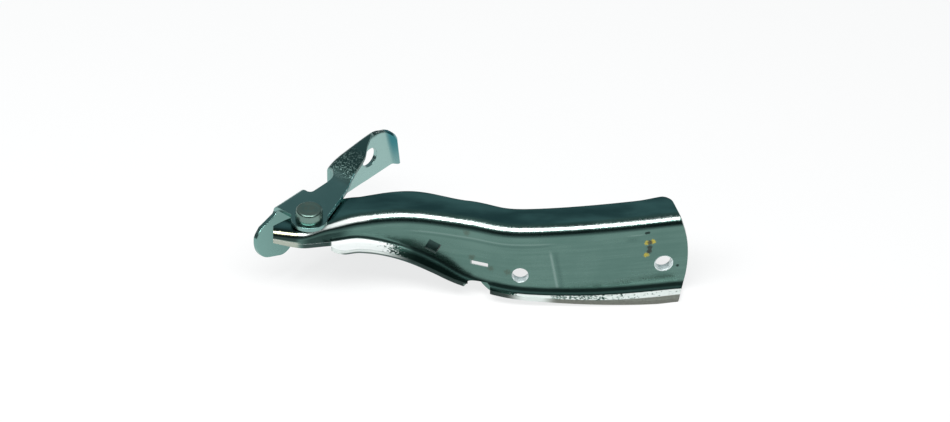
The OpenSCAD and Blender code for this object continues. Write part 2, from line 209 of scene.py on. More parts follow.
class Bench:
    """Mesh work by operators, on one piece at a time."""

    @staticmethod
    def clear() -> None:
        """Leaves nothing selected, in object mode."""
        if bpy.context.object and bpy.context.object.mode != "OBJECT":
            bpy.ops.object.mode_set(mode="OBJECT")
        bpy.ops.object.select_all(action="DESELECT")

    @staticmethod
    def take(piece: bpy.types.Object) -> None:
        """Makes a piece the one selected and active object.

        Args:
            piece: Piece that is worked on next.
        """
        Bench.clear()
        piece.select_set(True)
        bpy.context.view_layer.objects.active = piece

    @staticmethod
    def edit(piece: bpy.types.Object, action: str = "SELECT") -> None:
        """Opens a piece in edit mode.

        Args:
            piece: Piece that is opened.
            action: SELECT for all of it selected, DESELECT for none of it.
        """
        Bench.take(piece)
        bpy.ops.object.mode_set(mode="EDIT")
        bpy.ops.mesh.select_mode(type="VERT")
        bpy.ops.mesh.select_all(action=action)

    @staticmethod
    def close() -> None:
        """Goes back to object mode."""
        bpy.ops.object.mode_set(mode="OBJECT")

    @staticmethod
    def named(name: str) -> bpy.types.Object:
        """Gives the newest object its name.

        Args:
            name: Name of the piece.

        Returns:
            The piece.
        """
        piece = bpy.context.object
        piece.name = name
        piece.data.name = name
        return piece

    @staticmethod
    def rolled(
        name: str, columns: int, rows: int, place: Callable[[int, int], Vector]
    ) -> bpy.types.Object:
        """Grid that is rolled up into a form, with its seams still open.

        Args:
            name: Name of the piece.
            columns: Points along the first direction.
            rows: Points along the second direction.
            place: Where the point of a column and a row goes, in metres.

        Returns:
            The piece.
        """
        Bench.clear()
        bpy.ops.mesh.primitive_grid_add(
            x_subdivisions=columns - 1, y_subdivisions=rows - 1, size=2.0, location=(0, 0, 0)
        )
        piece = Bench.named(name)
        for vertex in piece.data.vertices:
            i = round((vertex.co.x + 1.0) * 0.5 * (columns - 1))
            j = round((vertex.co.y + 1.0) * 0.5 * (rows - 1))
            vertex.co = place(i, j)
        return piece

    @staticmethod
    def seal(piece: bpy.types.Object, gap: float = 0.002 * MM) -> None:
        """Merges doubles, fills open ends and turns the faces outwards.

        Args:
            piece: Piece that is closed.
            gap: Distance in metres under which two points are one.
        """
        Bench.edit(piece)
        bpy.ops.mesh.remove_doubles(threshold=gap)
        bpy.ops.mesh.select_all(action="DESELECT")
        bpy.ops.mesh.select_non_manifold(
            extend=False, use_wire=False, use_boundary=True, use_multi_face=False,
            use_non_contiguous=False, use_verts=False,
        )
        if piece.data.total_edge_sel:
            bpy.ops.mesh.edge_face_add()
        bpy.ops.mesh.select_all(action="SELECT")
        bpy.ops.mesh.normals_make_consistent(inside=False)
        Bench.close()

    @staticmethod
    def lathe(
        name: str, profile: Sequence[Pair], steps: int, at: Optional[Matrix] = None
    ) -> bpy.types.Object:
        """Turned form round its own upright axis.

        Args:
            name: Name of the piece.
            profile: Radius and height of the outline in mm, a closed loop or from axis to axis.
            steps: Points round the axis.
            at: Place of the axis, in mm, or none for the origin.

        Returns:
            The piece.
        """
        matrix = at or Matrix.Identity(4)

        def place(i: int, j: int) -> Vector:
            """Point of the turned outline.

            Args:
                i: Step round the axis.
                j: Number of the point on the outline.

            Returns:
                Its place in metres.
            """
            radius, height = profile[j]
            angle = FULL_TURN * (i % steps) / steps
            x, y = radius * math.cos(angle), radius * math.sin(angle)
            return (matrix @ Vector((x, y, height))) * MM

        piece = Bench.rolled(name, steps + 1, len(profile), place)
        Bench.seal(piece)
        return piece

    @staticmethod
    def block(name: str, size: Triple, at: Matrix, bevel: float = 0.0) -> bpy.types.Object:
        """Box with eased edges.

        Args:
            name: Name of the piece.
            size: Its three sides in mm.
            at: Place of its centre, in mm.
            bevel: Width of its eased edges in mm.

        Returns:
            The piece.
        """
        Bench.clear()
        bpy.ops.mesh.primitive_cube_add(size=1.0, location=(0, 0, 0))
        piece = Bench.named(name)
        for vertex in piece.data.vertices:
            vertex.co = Vector(a * b for a, b in zip(vertex.co, size))
        if bevel > 0.0:
            Bench.edit(piece)
            bpy.ops.mesh.bevel(offset=bevel, segments=BEVEL_SEGMENTS, affect="EDGES")
            Bench.close()
        for vertex in piece.data.vertices:
            vertex.co = (at @ vertex.co) * MM
        return piece

    @staticmethod
    def slab(name: str, outline: Sequence[Pair], low: float, high: float) -> bpy.types.Object:
        """Flat sheet with an outline, extruded from one height to another.

        Args:
            name: Name of the piece.
            outline: Corners in mm, in order.
            low: Height of its lower face in mm.
            high: Height of its upper face in mm.

        Returns:
            The piece, with its sizes in mm.
        """
        Bench.clear()
        bpy.ops.mesh.primitive_circle_add(vertices=len(outline), radius=1.0, fill_type="NGON")
        piece = Bench.named(name)
        turn = FULL_TURN - 1e-6  # so that an angle just short of a full turn counts as 0
        order = sorted(piece.data.vertices, key=lambda v: math.atan2(v.co.y, v.co.x) % turn)
        for vertex, (x, y) in zip(order, outline):
            vertex.co = Vector((x, y, low))
        Bench.edit(piece)
        bpy.ops.mesh.extrude_region_move(TRANSFORM_OT_translate={"value": (0, 0, high - low)})
        bpy.ops.mesh.select_all(action="SELECT")
        bpy.ops.mesh.normals_make_consistent(inside=False)
        Bench.close()
        return piece

    @staticmethod
    def apply(piece: bpy.types.Object, kind: str, **settings: Any) -> None:
        """Adds a modifier with its settings and applies it.

        Args:
            piece: Piece that is changed.
            kind: Modifier's type.
            **settings: Values of the modifier.
        """
        Bench.take(piece)
        modifier = piece.modifiers.new(kind.lower(), kind)
        for key, value in settings.items():
            setattr(modifier, key, value)
        bpy.ops.object.modifier_apply(modifier=modifier.name)

    @staticmethod
    def work(piece: bpy.types.Object, tool: bpy.types.Object, cut: Cut) -> None:
        """Cuts piece by tool or joins tool to it, and removes the tool."""
        Bench.apply(piece, "BOOLEAN", operation=cut.value, solver="EXACT", object=tool)
        bpy.data.objects.remove(tool, do_unlink=True)

    @staticmethod
    def clean(piece: bpy.types.Object) -> None:
        """Splits faces of more than four corners, and takes out those without area.

        Args:
            piece: Piece that is cleaned.
        """
        Bench.edit(piece, "DESELECT")
        bpy.ops.mesh.select_mode(type="FACE")
        bpy.ops.mesh.select_face_by_sides(number=4, type="GREATER")
        bpy.ops.mesh.quads_convert_to_tris(quad_method="BEAUTY", ngon_method="BEAUTY")
        bpy.ops.mesh.select_all(action="SELECT")
        bpy.ops.mesh.dissolve_degenerate(threshold=NO_AREA)
        Bench.close()

    @staticmethod
    def gather(pieces: Sequence[bpy.types.Object]) -> bpy.types.Object:
        """Joins pieces into the first one.

        Args:
            pieces: Pieces to be one object.

        Returns:
            The first piece, which holds all of them.
        """
        Bench.take(pieces[0])
        for piece in pieces[1:]:
            piece.select_set(True)
        if len(pieces) > 1:
            bpy.ops.object.join()
        return pieces[0]

    @staticmethod
    def mark(piece: bpy.types.Object, place: Mark) -> bpy.types.Object:
        """Gives all faces of a piece one place on the arm's own map.

        Args:
            piece: Piece that is marked.
            place: Where it goes on the map.

        Returns:
            The piece.
        """
        for corner in piece.data.uv_layers.active.data:
            corner.uv = place.value
        return piece

    @staticmethod
    def smooth(piece: bpy.types.Object, angle: float) -> None:
        """Gives a piece smooth shading, with flat faces kept flat.

        Args:
            piece: Piece that is shaded.
            angle: Angle between faces, in degrees, up to which they are smoothed.
        """
        Bench.take(piece)
        bpy.ops.object.shade_smooth_by_angle(angle=math.radians(angle))
        Bench.apply(piece, "WEIGHTED_NORMAL", keep_sharp=True, weight=80)


@dataclass(frozen=True)
class Layout:
    """Places that pieces share, in mm from the pivot axis at the top of the arm's flange."""

    origin: Triple = (31.0917, 68.3810, -4.44)
    plate_top: float = 3.56
    bracket_turn: float = 48.2
    body_bolt: Pair = (71.7, 22.4)
    flare_lean: float = 13.0
    crease_lean: float = 0.16
    crease_level: float = 25.0
    shank: float = 3.5
    head_top: float = 9.8
    tail_seat: float = -4.36
    tail_end: float = -6.96

    def row(self, x: float, y: float, z: float) -> Vector:
        """Point along, across and up from the pivot, as a place in the part's frame, in mm."""
        return Vector((x - self.origin[0], y - self.origin[1], z - self.origin[2]))

    def pivot(self) -> Matrix:
        """Pivot axis in the part's frame, in mm."""
        return Matrix.Translation(self.row(0.0, 0.0, 0.0))


LAYOUT = Layout()


class Link:
    """Value that a shader node gives, with the operators of plain numbers."""

    def __init__(self, tree: "Tree", socket: bpy.types.NodeSocket) -> None:
        """Keeps the node tree and the socket."""
        self.tree = tree
        self.socket = socket

    def _math(self, operation: str, *values: "Value") -> "Link":
        """Adds one Math node."""
        return self.tree.node("ShaderNodeMath", {"operation": operation}, dict(enumerate(values)))

    def __add__(self, other: "Value") -> "Link":
        """Sum."""
        return self._math("ADD", self, other)

    __radd__ = __add__

    def __sub__(self, other: "Value") -> "Link":
        """Difference."""
        return self._math("SUBTRACT", self, other)

    def __rsub__(self, other: "Value") -> "Link":
        """Difference from a number."""
        return self._math("SUBTRACT", other, self)

    def __mul__(self, other: "Value") -> "Link":
        """Product."""
        return self._math("MULTIPLY", self, other)

    __rmul__ = __mul__

    def __pow__(self, other: "Value") -> "Link":
        """Power."""
        return self._math("POWER", self, other)

    def most(self, other: "Value") -> "Link":
        """Greater of two values."""
        return self._math("MAXIMUM", self, other)

    def step(self, low: float, high: float) -> "Link":
        """Smooth step up from low to high, or down where low is the greater.

        Args:
            low: Value at which it is 0.
            high: Value at which it is 1.

        Returns:
            Height of the step, from 0 to 1.
        """
        settings = {"interpolation_type": "SMOOTHSTEP", "clamp": True}
        if low <= high:
            return self.tree.node("ShaderNodeMapRange", settings, {0: self, 1: low, 2: high})
        return 1.0 - self.tree.node("ShaderNodeMapRange", settings, {0: self, 1: high, 2: low})

    def band(self, low: float, high: float, soft: float) -> "Link":
        """Mask of 1 between low and high, fading over soft."""
        return self.step(low - soft, low + soft) * self.step(high + soft, high - soft)


Value = Union[Link, float, Sequence[float]]


def opaque(colour: Value) -> Value:
    """Colour with full alpha, or a link as it is."""
    return colour if isinstance(colour, Link) else (*colour, 1.0)


@dataclass(frozen=True)
class Tone:
    """Colour laid over a finish, how much of it shows, and what it does to the metal."""

    colour: Value
    share: float = 1.0
    cover: float = 0.0
    rough: float = 0.0


class Tree:
    """Node tree that is built up node by node."""

    def __init__(self, tree: bpy.types.NodeTree) -> None:
        """Keeps the tree's nodes and links."""
        self.nodes = tree.nodes
        self.links = tree.links

    def node(
        self,
        kind: str,
        settings: dict[str, Any],
        values: dict[Union[int, str], Value],
        output: Union[int, str] = 0,
    ) -> Link:
        """Adds a node.

        Args:
            kind: Node's type.
            settings: Its settings.
            values: Numbers, colours or links for its sockets.
            output: Which of its outputs is meant.

        Returns:
            That output.
        """
        made = self.nodes.new(kind)
        for key, value in settings.items():
            setattr(made, key, value)
        for key, value in values.items():
            if isinstance(value, Link):
                self.links.new(value.socket, made.inputs[key])
            else:
                made.inputs[key].default_value = value
        return Link(self, made.outputs[output])

    def blend(self, a: Value, b: Value, share: Value) -> Link:
        """Colour between a at share 0 and b at share 1."""
        values = {MIX_SHARE: share, MIX_FIRST: opaque(a), MIX_SECOND: opaque(b)}
        return self.node("ShaderNodeMix", {"data_type": "RGBA"}, values, MIX_RESULT)


class Recipe(Tree):
    """Node tree of one finish, with its colour, roughness and relief so far."""

    def __init__(self, name: str) -> None:
        """Starts a material with its surface shader.

        Args:
            name: Name of the material.
        """
        self.material = bpy.data.materials.new(name)
        self.material.use_nodes = True
        super().__init__(self.material.node_tree)
        self.shader = self.nodes["Principled BSDF"]
        self.place = self.node("ShaderNodeTexCoord", {}, {}, "Object")
        self.x, self.y, self.z = self.parts(self.place)
        self.length, self.girth, _ = self.parts(self.node("ShaderNodeTexCoord", {}, {}, "UV"))
        self.colour: Value = (0.2, 0.2, 0.2)
        self.rough: Value = 0.3
        self.metal: Value = 1.0
        self.height: Value = 0.0

    def parts(self, vector: Link) -> tuple[Link, Link, Link]:
        """Splits a vector.

        Args:
            vector: What is split.

        Returns:
            Its three parts.
        """
        first = self.node("ShaderNodeSeparateXYZ", {}, {0: vector}, "X")
        others = first.socket.node.outputs
        return first, Link(self, others["Y"]), Link(self, others["Z"])

    def from_pivot(self, axis: Axis) -> Link:
        """Distance in metres from the pivot axis, and upwards from the top of the flange."""
        return (self.x, self.y, self.z)[axis.value] + LAYOUT.origin[axis.value] * MM

    def stretch(self, part: Stretch) -> Link:
        """Mask of a stretch of the arm."""
        return self.from_pivot(Axis.ALONG).band(*part.value)

    def zone(self, part: Zone) -> Link:
        """Mask of a band round the arm's section."""
        return self.girth.band(*(rows / SECTION_ROWS for rows in part.value))

    def past_row(self, start: float, end: float) -> Link:
        """Smooth step round the arm's section, from 0 at one row to 1 at another."""
        return self.girth.step(start / SECTION_ROWS, end / SECTION_ROWS)

    def marked(self, mark: Mark) -> Link:
        """Mask of the faces that hold a mark."""
        return self.length.band(mark.value[0] - 0.5, mark.value[0] + 0.5, 0.1)

    def noise(self, scale: float, stretch: Triple = (1, 1, 1), detail: float = 3.0) -> Link:
        """Noise on Object coordinates.

        Args:
            scale: Features in a metre.
            stretch: Scale of each axis before it.
            detail: Octaves.

        Returns:
            Its value, about 0.5.
        """
        point = self.node("ShaderNodeMapping", {}, {"Vector": self.place, "Scale": stretch})
        values = {"Vector": point, "Scale": scale, "Detail": detail, "Roughness": 0.55}
        return self.node("ShaderNodeTexNoise", {}, values)

    def spot(self, point: Triple, radius: float, ragged: float = 0.0) -> Link:
        """Mask of a small round spot.

        Args:
            point: Its centre in metres.
            radius: Its radius in metres.
            ragged: How far noise moves its edge, in metres.

        Returns:
            Mask of 1 inside it.
        """
        away = self.node(
            "ShaderNodeVectorMath", {"operation": "DISTANCE"}, {0: self.place, 1: point}, "Value"
        )
        if ragged > 0.0:
            away = away + (self.noise(1600.0) - 0.5) * (2.0 * ragged)
        return away.step(radius, 0.55 * radius)

    def tint(self, tone: Tone, mask: Link) -> None:
        """Lays a tone over the finish so far.

        Args:
            tone: What is laid over it.
            mask: Where it shows.
        """
        shown = mask if tone.share == 1.0 else mask * tone.share
        self.colour = self.blend(self.colour, tone.colour, shown)
        if tone.cover:
            self.metal = self.metal - mask * tone.cover
        if tone.rough:
            self.rough = self.rough + mask * tone.rough

    def set(self, **values: Value) -> None:
        """Sets sockets of the surface shader.

        Args:
            **values: Number, colour or link of each socket, by its name with _ for a space.
        """
        for key, value in values.items():
            socket = self.shader.inputs[key.replace("_", " ")]
            if isinstance(value, Link):
                self.links.new(value.socket, socket)
            elif isinstance(value, (tuple, list)):
                socket.default_value = (*value, 1.0)
            else:
                socket.default_value = value

    def bump(self, height: Link, depth: float) -> None:
        """Raises the surface by a height of 0 to 1, where 1 stands for depth, in metres."""
        values = {"Strength": 1.0, "Distance": depth, "Height": height}
        self.set(Normal=self.node("ShaderNodeBump", {}, values))


@dataclass(frozen=True)
class ZincFinish:
    """Blue-passivated zinc on pressed steel."""

    name: str
    light: Triple = (0.132, 0.234, 0.204)
    dark: Triple = (0.098, 0.188, 0.162)
    gloss: float = 0.19
    satin: float = 0.10
    streak: Triple = (26.0, 26.0, 520.0)
    cloud_scale: float = 38.0
    grain_scale: float = 900.0
    relief: float = 0.03 * MM

    def recipe(self) -> Recipe:
        """Zinc with cloudy colour, drawing streaks and fine grain.

        Returns:
            Recipe whose material can still be changed.
        """
        r = Recipe(self.name)
        cloud = r.noise(self.cloud_scale, detail=4.0)
        fine = r.noise(self.grain_scale, detail=2.0)
        line = r.noise(1.0, self.streak, 4.0)
        shade = (cloud * 0.55 + line * 0.45).step(0.32, 0.70)
        worn = (cloud * 0.6 + line * 0.4).step(0.30, 0.72)
        r.colour = r.blend(self.dark, self.light, shade)
        r.rough = worn * self.satin + self.gloss + fine * 0.05
        r.height = line * 0.55 + fine * 0.40 + cloud * 0.9
        return r

    def close(self, r: Recipe) -> bpy.types.Material:
        """Links colour, roughness and relief.

        Args:
            r: The recipe.

        Returns:
            The finished material.
        """
        r.set(Base_Color=r.colour, Roughness=r.rough, Metallic=r.metal)
        r.bump(r.height, self.relief)
        return r.material

    def material(self) -> bpy.types.Material:
        """Finished material, without marks."""
        return self.close(self.recipe())


@dataclass(frozen=True)
class ArmZinc(ZincFinish):
    """Zinc of the arm: specks, paint marks, and painted light and shade on bends, web, lip and
    edges.

    Sizes of specks are a radius and how ragged it is, and lines are a level under the flange and
    a stretch along the arm, all in metres.
    """

    rust: tuple[Triple, ...] = ()
    dots: tuple[Triple, ...] = ()
    yellow: tuple[Triple, ...] = ()
    black: tuple[Triple, ...] = ()
    rust_size: Pair = (0.0021, 0.0032)
    dot_size: Pair = (0.0011, 0.0003)
    paint_size: Pair = (0.0019, 0.0012)
    patch_scale: float = 26.0
    ragged_scale: float = 750.0
    # Painted highlight and painted shade along the press crease and ledges, and a painted shadow
    # under the far bolt hole.
    crease_highlight: Triple = (0.1318, 0.1330, 0.0006)
    crease_shade: Triple = (0.1340, 0.1362, 0.0012)
    highlight_lines: tuple[tuple[Triple, Triple], ...] = (
        ((0.0096, 0.0102, 0.0004), (0.056, 0.131, 0.006)),
        ((0.0082, 0.0088, 0.0004), (0.174, 0.182, 0.003)),
    )
    shade_lines: tuple[tuple[Triple, Triple], ...] = (
        ((0.0352, 0.0372, 0.0020), (0.1880, 0.1945, 0.0025)),
        ((0.0108, 0.0120, 0.0008), (0.056, 0.131, 0.006)),
        ((0.0100, 0.0125, 0.0012), (0.173, 0.178, 0.003)),
    )
    rust_tone: Tone = Tone((0.072, 0.070, 0.044), 0.40)
    dot_tone: Tone = Tone((0.012, 0.022, 0.020), 0.85)
    yellow_tone: Tone = Tone((0.46, 0.38, 0.03), 0.85, cover=0.6)
    black_tone: Tone = Tone((0.012, 0.012, 0.008), 0.85, cover=0.6)
    # Painted shade on the flange's top, broken by lighter patches of painted reflection.
    flange_painted_shade: Triple = (0.056, 0.140, 0.138)
    flange_painted_reflection: Triple = (0.150, 0.310, 0.290)
    # Painted highlights and painted shade along the flange's bend.
    bend_highlight: Tone = Tone((0.56, 0.64, 0.61))
    bend_glint: Tone = Tone((0.90, 0.94, 0.91), cover=0.7)
    bend_shade: Tone = Tone((0.026, 0.056, 0.051), 0.85)
    hollow_shade: Tone = Tone((0.016, 0.038, 0.034), 0.9)
    neck_shade: Tone = Tone((0.030, 0.054, 0.048))
    neck_glint: Tone = Tone((0.66, 0.66, 0.42))
    # Painted reflection on the lower web of the neck.
    neck_reflection: Tone = Tone((0.40, 0.44, 0.37))
    foot_shade: Tone = Tone((0.018, 0.042, 0.038), 0.9)
    line_highlight: Tone = Tone((0.230, 0.340, 0.310), 0.60)
    line_shade: Tone = Tone((0.070, 0.140, 0.122), 0.55)
    lip_shade: Tone = Tone((0.008, 0.020, 0.018), 0.95, rough=0.25)
    # Colours of the painted highlight on top of the lip.
    lip_highlight_dim: Triple = (0.88, 0.92, 0.90)
    lip_highlight_full: Triple = (0.98, 0.99, 0.985)
    # Dull cut steel of the edge, then its painted shade and painted highlight.
    edge_dull: Triple = (0.100, 0.112, 0.096)
    edge_pale: Triple = (0.215, 0.222, 0.190)
    edge_shade: Triple = (0.016, 0.034, 0.030)
    edge_highlight: Triple = (0.70, 0.76, 0.73)
    lower_edge_shade: Triple = (0.026, 0.060, 0.054)
    lance_shade: Tone = Tone((0.042, 0.080, 0.074))
    bore_highlight: Tone = Tone((0.62, 0.70, 0.70), cover=0.6)

    def specks(self, r: Recipe) -> None:
        """Adds rust, dark dots and marks of paint.

        Args:
            r: The recipe.
        """
        for points, size, tone in (
            (self.rust, self.rust_size, self.rust_tone),
            (self.dots, self.dot_size, self.dot_tone),
            (self.yellow, self.paint_size, self.yellow_tone),
            (self.black, self.paint_size, self.black_tone),
        ):
            for point in points:
                r.tint(tone, r.spot(point, *size))

    def bends(self, r: Recipe) -> None:
        """Adds painted highlights, shade and reflection on the flange's bend and the neck's hollow.

        Args:
            r: The recipe.
        """
        grain = r.noise(self.grain_scale, detail=3.0)
        # Ragged band of lighter colour: a painted highlight that widens and whitens the lamp's
        # highlight on the bend.
        highlight_band = (r.zone(Zone.BEND_RUB) + (grain - 0.5) * 1.8).step(0.30, 0.95)
        neck = r.from_pivot(Axis.ALONG).step(-0.004, -0.008)
        r.tint(self.bend_highlight, highlight_band * r.zone(Zone.BEND))
        r.tint(self.bend_glint, r.zone(Zone.BEND_GLINT) * r.stretch(Stretch.GLINT))
        r.tint(self.bend_shade, r.zone(Zone.BEND_FOOT))
        r.tint(self.hollow_shade, r.stretch(Stretch.HOLLOW) * r.zone(Zone.HOLLOW))
        # Painted shade, a painted golden glint and a painted reflection on the neck.
        r.tint(self.neck_shade, neck * r.zone(Zone.NECK))
        r.tint(self.neck_glint, neck * r.zone(Zone.NECK_GLINT))
        r.tint(self.neck_reflection, neck * r.zone(Zone.NECK_BACK))
        r.tint(self.foot_shade, r.stretch(Stretch.FOOT) * r.zone(Zone.LIP_FOOT))

    def press_line_shading(self, r: Recipe) -> None:
        """Adds painted highlight and shade on the web's press lines and under the far bolt hole.

        Args:
            r: The recipe.
        """
        along = r.from_pivot(Axis.ALONG)
        drop = -1.0 * r.from_pivot(Axis.UP)
        web = r.zone(Zone.WEB)
        lower = drop.step(0.013, 0.019)
        lean = along - (drop - LAYOUT.crease_level * MM) * LAYOUT.crease_lean
        bright = lean.band(*self.crease_highlight) * lower * 1.3
        for level, stretch in self.highlight_lines:
            bright = bright.most(drop.band(*level) * along.band(*stretch))
        shade = lean.band(*self.crease_shade) * lower
        for level, stretch in self.shade_lines:
            shade = shade.most(drop.band(*level) * along.band(*stretch))
        r.tint(self.line_highlight, bright * web)
        r.tint(self.line_shade, shade * web)

    def lip(self, r: Recipe, ragged: Link) -> None:
        """Adds painted shade in the hollow of the lip's bend, and painted highlight on the lip's
        top.

        Args:
            r: The recipe.
            ragged: Noise that breaks up the painted highlight.
        """
        along = r.from_pivot(Axis.ALONG)
        start = along.step(0.060, 0.040)
        left = along.step(0.064, 0.030)
        right = along.step(0.104, 0.114) * (0.62 + 0.22 * along.step(0.150, 0.190))
        right = right.most(r.stretch(Stretch.LIP_BRIGHT) * 1.4)
        shaded = r.stretch(Stretch.LIP_MIDDLE) * r.zone(Zone.LIP)
        shaded = shaded.most(along.step(0.090, 0.100) * r.zone(Zone.LIP_BEND))
        r.tint(self.lip_shade, shaded)
        reach = (start * r.zone(Zone.LIP_SCUFF_LEFT)).most(r.zone(Zone.LIP_SCUFF))
        # Ragged painted highlight on the lip's top, with less metal so that it shows white.
        patchy = (left.most(right) + (ragged - 0.5) * 1.6).step(0.45, 0.75) * reach
        white = r.blend(self.lip_highlight_dim, self.lip_highlight_full, start)
        r.tint(Tone(white, cover=0.75, rough=0.22), patchy)
        r.height = r.height + patchy * ragged * 3.0

    def cut_edge(self, r: Recipe, ragged: Link) -> None:
        """Adds the dull cut edge of the sheet along the lip, with painted highlight and shade.

        Args:
            r: The recipe.
            ragged: Noise that clouds the edge.
        """
        along = r.from_pivot(Axis.ALONG)
        worn = (r.girth * SECTION_ROWS + along.step(0.125, 0.200) * 3.2).step(79.6, 80.4)
        edge = worn * r.past_row(86.6, 86.0)
        # Painted highlight on two bright stretches, and painted shade on the edge's lower half near
        # the neck.
        bright = along.step(0.056, 0.036).most(r.stretch(Stretch.EDGE_BRIGHT))
        lower_half = r.stretch(Stretch.BURR) * r.past_row(82.45, 82.65)
        dull = r.blend(self.edge_dull, self.edge_pale, ragged)
        # Painted shade on the edge's left part, up to about 0.1 m from the pivot.
        dull = r.blend(self.edge_shade, dull, along.step(0.100, 0.125))
        dull = r.blend(dull, self.edge_highlight, bright)
        dull = r.blend(dull, self.lower_edge_shade, lower_half * 0.9)
        r.colour = r.blend(r.colour, dull, edge * along.step(0.011, 0.013))
        r.metal = r.metal - edge * 0.5
        r.rough = r.rough + edge * 0.25

    def material(self) -> bpy.types.Material:
        """Finished arm zinc.

        Returns:
            The material.
        """
        r = self.recipe()
        # The flange's top gets painted shade, broken by patches of painted reflection.
        patch = r.noise(self.patch_scale, (0.8, 2.2, 1.0), 3.0).step(0.36, 0.66)
        flange_painted_tone = r.blend(self.flange_painted_shade, self.flange_painted_reflection, patch)
        r.tint(Tone(flange_painted_tone, rough=-0.05), r.zone(Zone.FLANGE))
        self.bends(r)
        self.press_line_shading(r)
        self.specks(r)
        ragged = r.noise(self.ragged_scale, detail=4.0)
        self.lip(r, ragged)
        self.cut_edge(r, ragged)
        # Painted shade on the lanced tongue, pushed back into its window.
        r.tint(self.lance_shade, r.marked(Mark.LANCE))
        # Painted highlight on the walls of the bolt holes, and a little on the window's walls.
        r.tint(self.bore_highlight, r.marked(Mark.BORE) + r.marked(Mark.WINDOW) * 0.25)
        return self.close(r)


@dataclass(frozen=True)
class BracketZinc(ZincFinish):
    """Zinc of the bracket: coarse tool grip marks on its ear strap, and painted light and shade."""

    flake_scale: float = 1100.0
    tongue_shade: Tone = Tone((0.180, 0.345, 0.312), 0.8)
    ear_painted_light: Tone = Tone((0.315, 0.490, 0.460), 0.85)
    strap_shade: Tone = Tone((0.075, 0.155, 0.142), 0.85)
    flare_blue: Tone = Tone((0.055, 0.250, 0.280))
    grip_dark: Triple = (0.050, 0.105, 0.094)
    grip_light: Triple = (0.200, 0.300, 0.275)
    crown_light: Triple = (0.62, 0.68, 0.63)
    cut_edge_lit: Triple = (0.030, 0.150, 0.150)
    cut_edge_glint: Triple = (0.34, 0.52, 0.50)
    cut_normal: Pair = (0.3205, 0.947)
    cut_away: float = 0.00866

    def material(self) -> bpy.types.Material:
        """Finished bracket zinc.

        Returns:
            The material.
        """
        r = self.recipe()
        turn = math.radians(LAYOUT.bracket_turn)
        along = r.x * math.cos(turn) + r.y * math.sin(turn) + LAYOUT.body_bolt[0] * MM
        out = r.y * math.cos(turn) - r.x * math.sin(turn) + LAYOUT.body_bolt[1] * MM
        height = r.from_pivot(Axis.UP)
        # Painted shade on the tongue, painted light on the ear's face and painted shade on the
        # strap.
        r.tint(self.tongue_shade, along.step(0.024, 0.018) * height.step(0.001, -0.003))
        r.tint(self.ear_painted_light, along.step(0.044, 0.054) * height.step(0.0088, 0.0064))
        r.tint(self.strap_shade, along.step(0.039, 0.044) * height.step(0.0066, 0.0086))
        flake = r.noise(self.flake_scale, (1.0, 1.0, 0.6), 2.0).step(0.50, 0.66)
        strap = height.step(0.0042, 0.0058) * along.step(0.037, 0.041) * along.step(0.060, 0.054)
        grip = strap * out.step(0.0035, 0.0060)
        r.tint(Tone(r.blend(self.grip_dark, self.grip_light, flake), 0.85), grip)
        r.rough = r.rough + grip * (0.08 + 0.14 * flake)
        r.height = r.height + grip * flake * 2.2
        crown = (height + (along - 0.080) * 0.42).step(0.0070, 0.0078) * along.step(0.074, 0.078)
        r.tint(Tone(r.blend(self.grip_dark, self.crown_light, flake), 0.9), crown)
        # Painted light on the plate's cut edge, with painted glints, and less metal there so that
        # it shows lit.
        beyond = along * self.cut_normal[0] - out * self.cut_normal[1] - self.cut_away
        cut = beyond.step(-0.0005, -0.0002) * along.band(0.008, 0.042, 0.001)
        r.tint(Tone(r.blend(self.cut_edge_lit, self.cut_edge_glint, flake)), cut)
        lean = along + height * math.tan(math.radians(LAYOUT.flare_lean))
        flared = lean.step(0.0845, 0.0875) * (0.35 + 0.65 * height.step(-0.020, 0.000))
        r.tint(self.flare_blue, flared)
        r.metal = 1.0 - grip * flake * 0.25 - cut * 0.7 - crown * flake * 0.6
        return self.close(r)


@dataclass(frozen=True)
class RivetSteel(ZincFinish):
    """Dull zinc of the rivet, with the faint print of the riveting tool."""

    ragged_scale: float = 420.0
    face_tone: Tone = Tone((0.185, 0.235, 0.198), 0.8)
    face_step: Pair = (0.01385, 0.01415)
    print_band: Triple = (0.0034, 0.0040, 0.0004)

    def material(self) -> bpy.types.Material:
        """Finished rivet steel.

        Returns:
            The material.
        """
        r = self.recipe()
        away_x, away_y = r.from_pivot(Axis.ALONG), r.from_pivot(Axis.ACROSS)
        away = (away_x * away_x + away_y * away_y) ** 0.5
        top = r.z.step(*self.face_step)
        print_ring = away.band(*self.print_band) * top
        patchy = r.noise(self.ragged_scale, detail=4.0)
        r.tint(self.face_tone, top * patchy.step(0.35, 0.65))
        r.rough = r.rough + top * (0.16 + 0.16 * patchy)
        r.height = r.height + top * patchy * 1.6 - print_ring * 1.5
        return self.close(r)


@dataclass(frozen=True)
class RingMetal(ZincFinish):
    """Plain turned or stamped ring metal."""


@dataclass
class Piece:
    """What every piece of the hinge has in common."""

    node: str
    body: Body
    slot: str
    finish: Optional[ZincFinish]

    def dress(self, piece: bpy.types.Object) -> None:
        """Gives a finished mesh its material and its body, and hides the node that it stands for.

        Args:
            piece: The finished mesh.
        """
        piece.data.materials.clear()
        piece.data.materials.append(self.finish.material())
        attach(piece, self.body.value)
        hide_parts(self.node)
        piece.data.calc_loop_triangles()
        LOG.info("%s: %d triangles", piece.name, len(piece.data.loop_triangles))


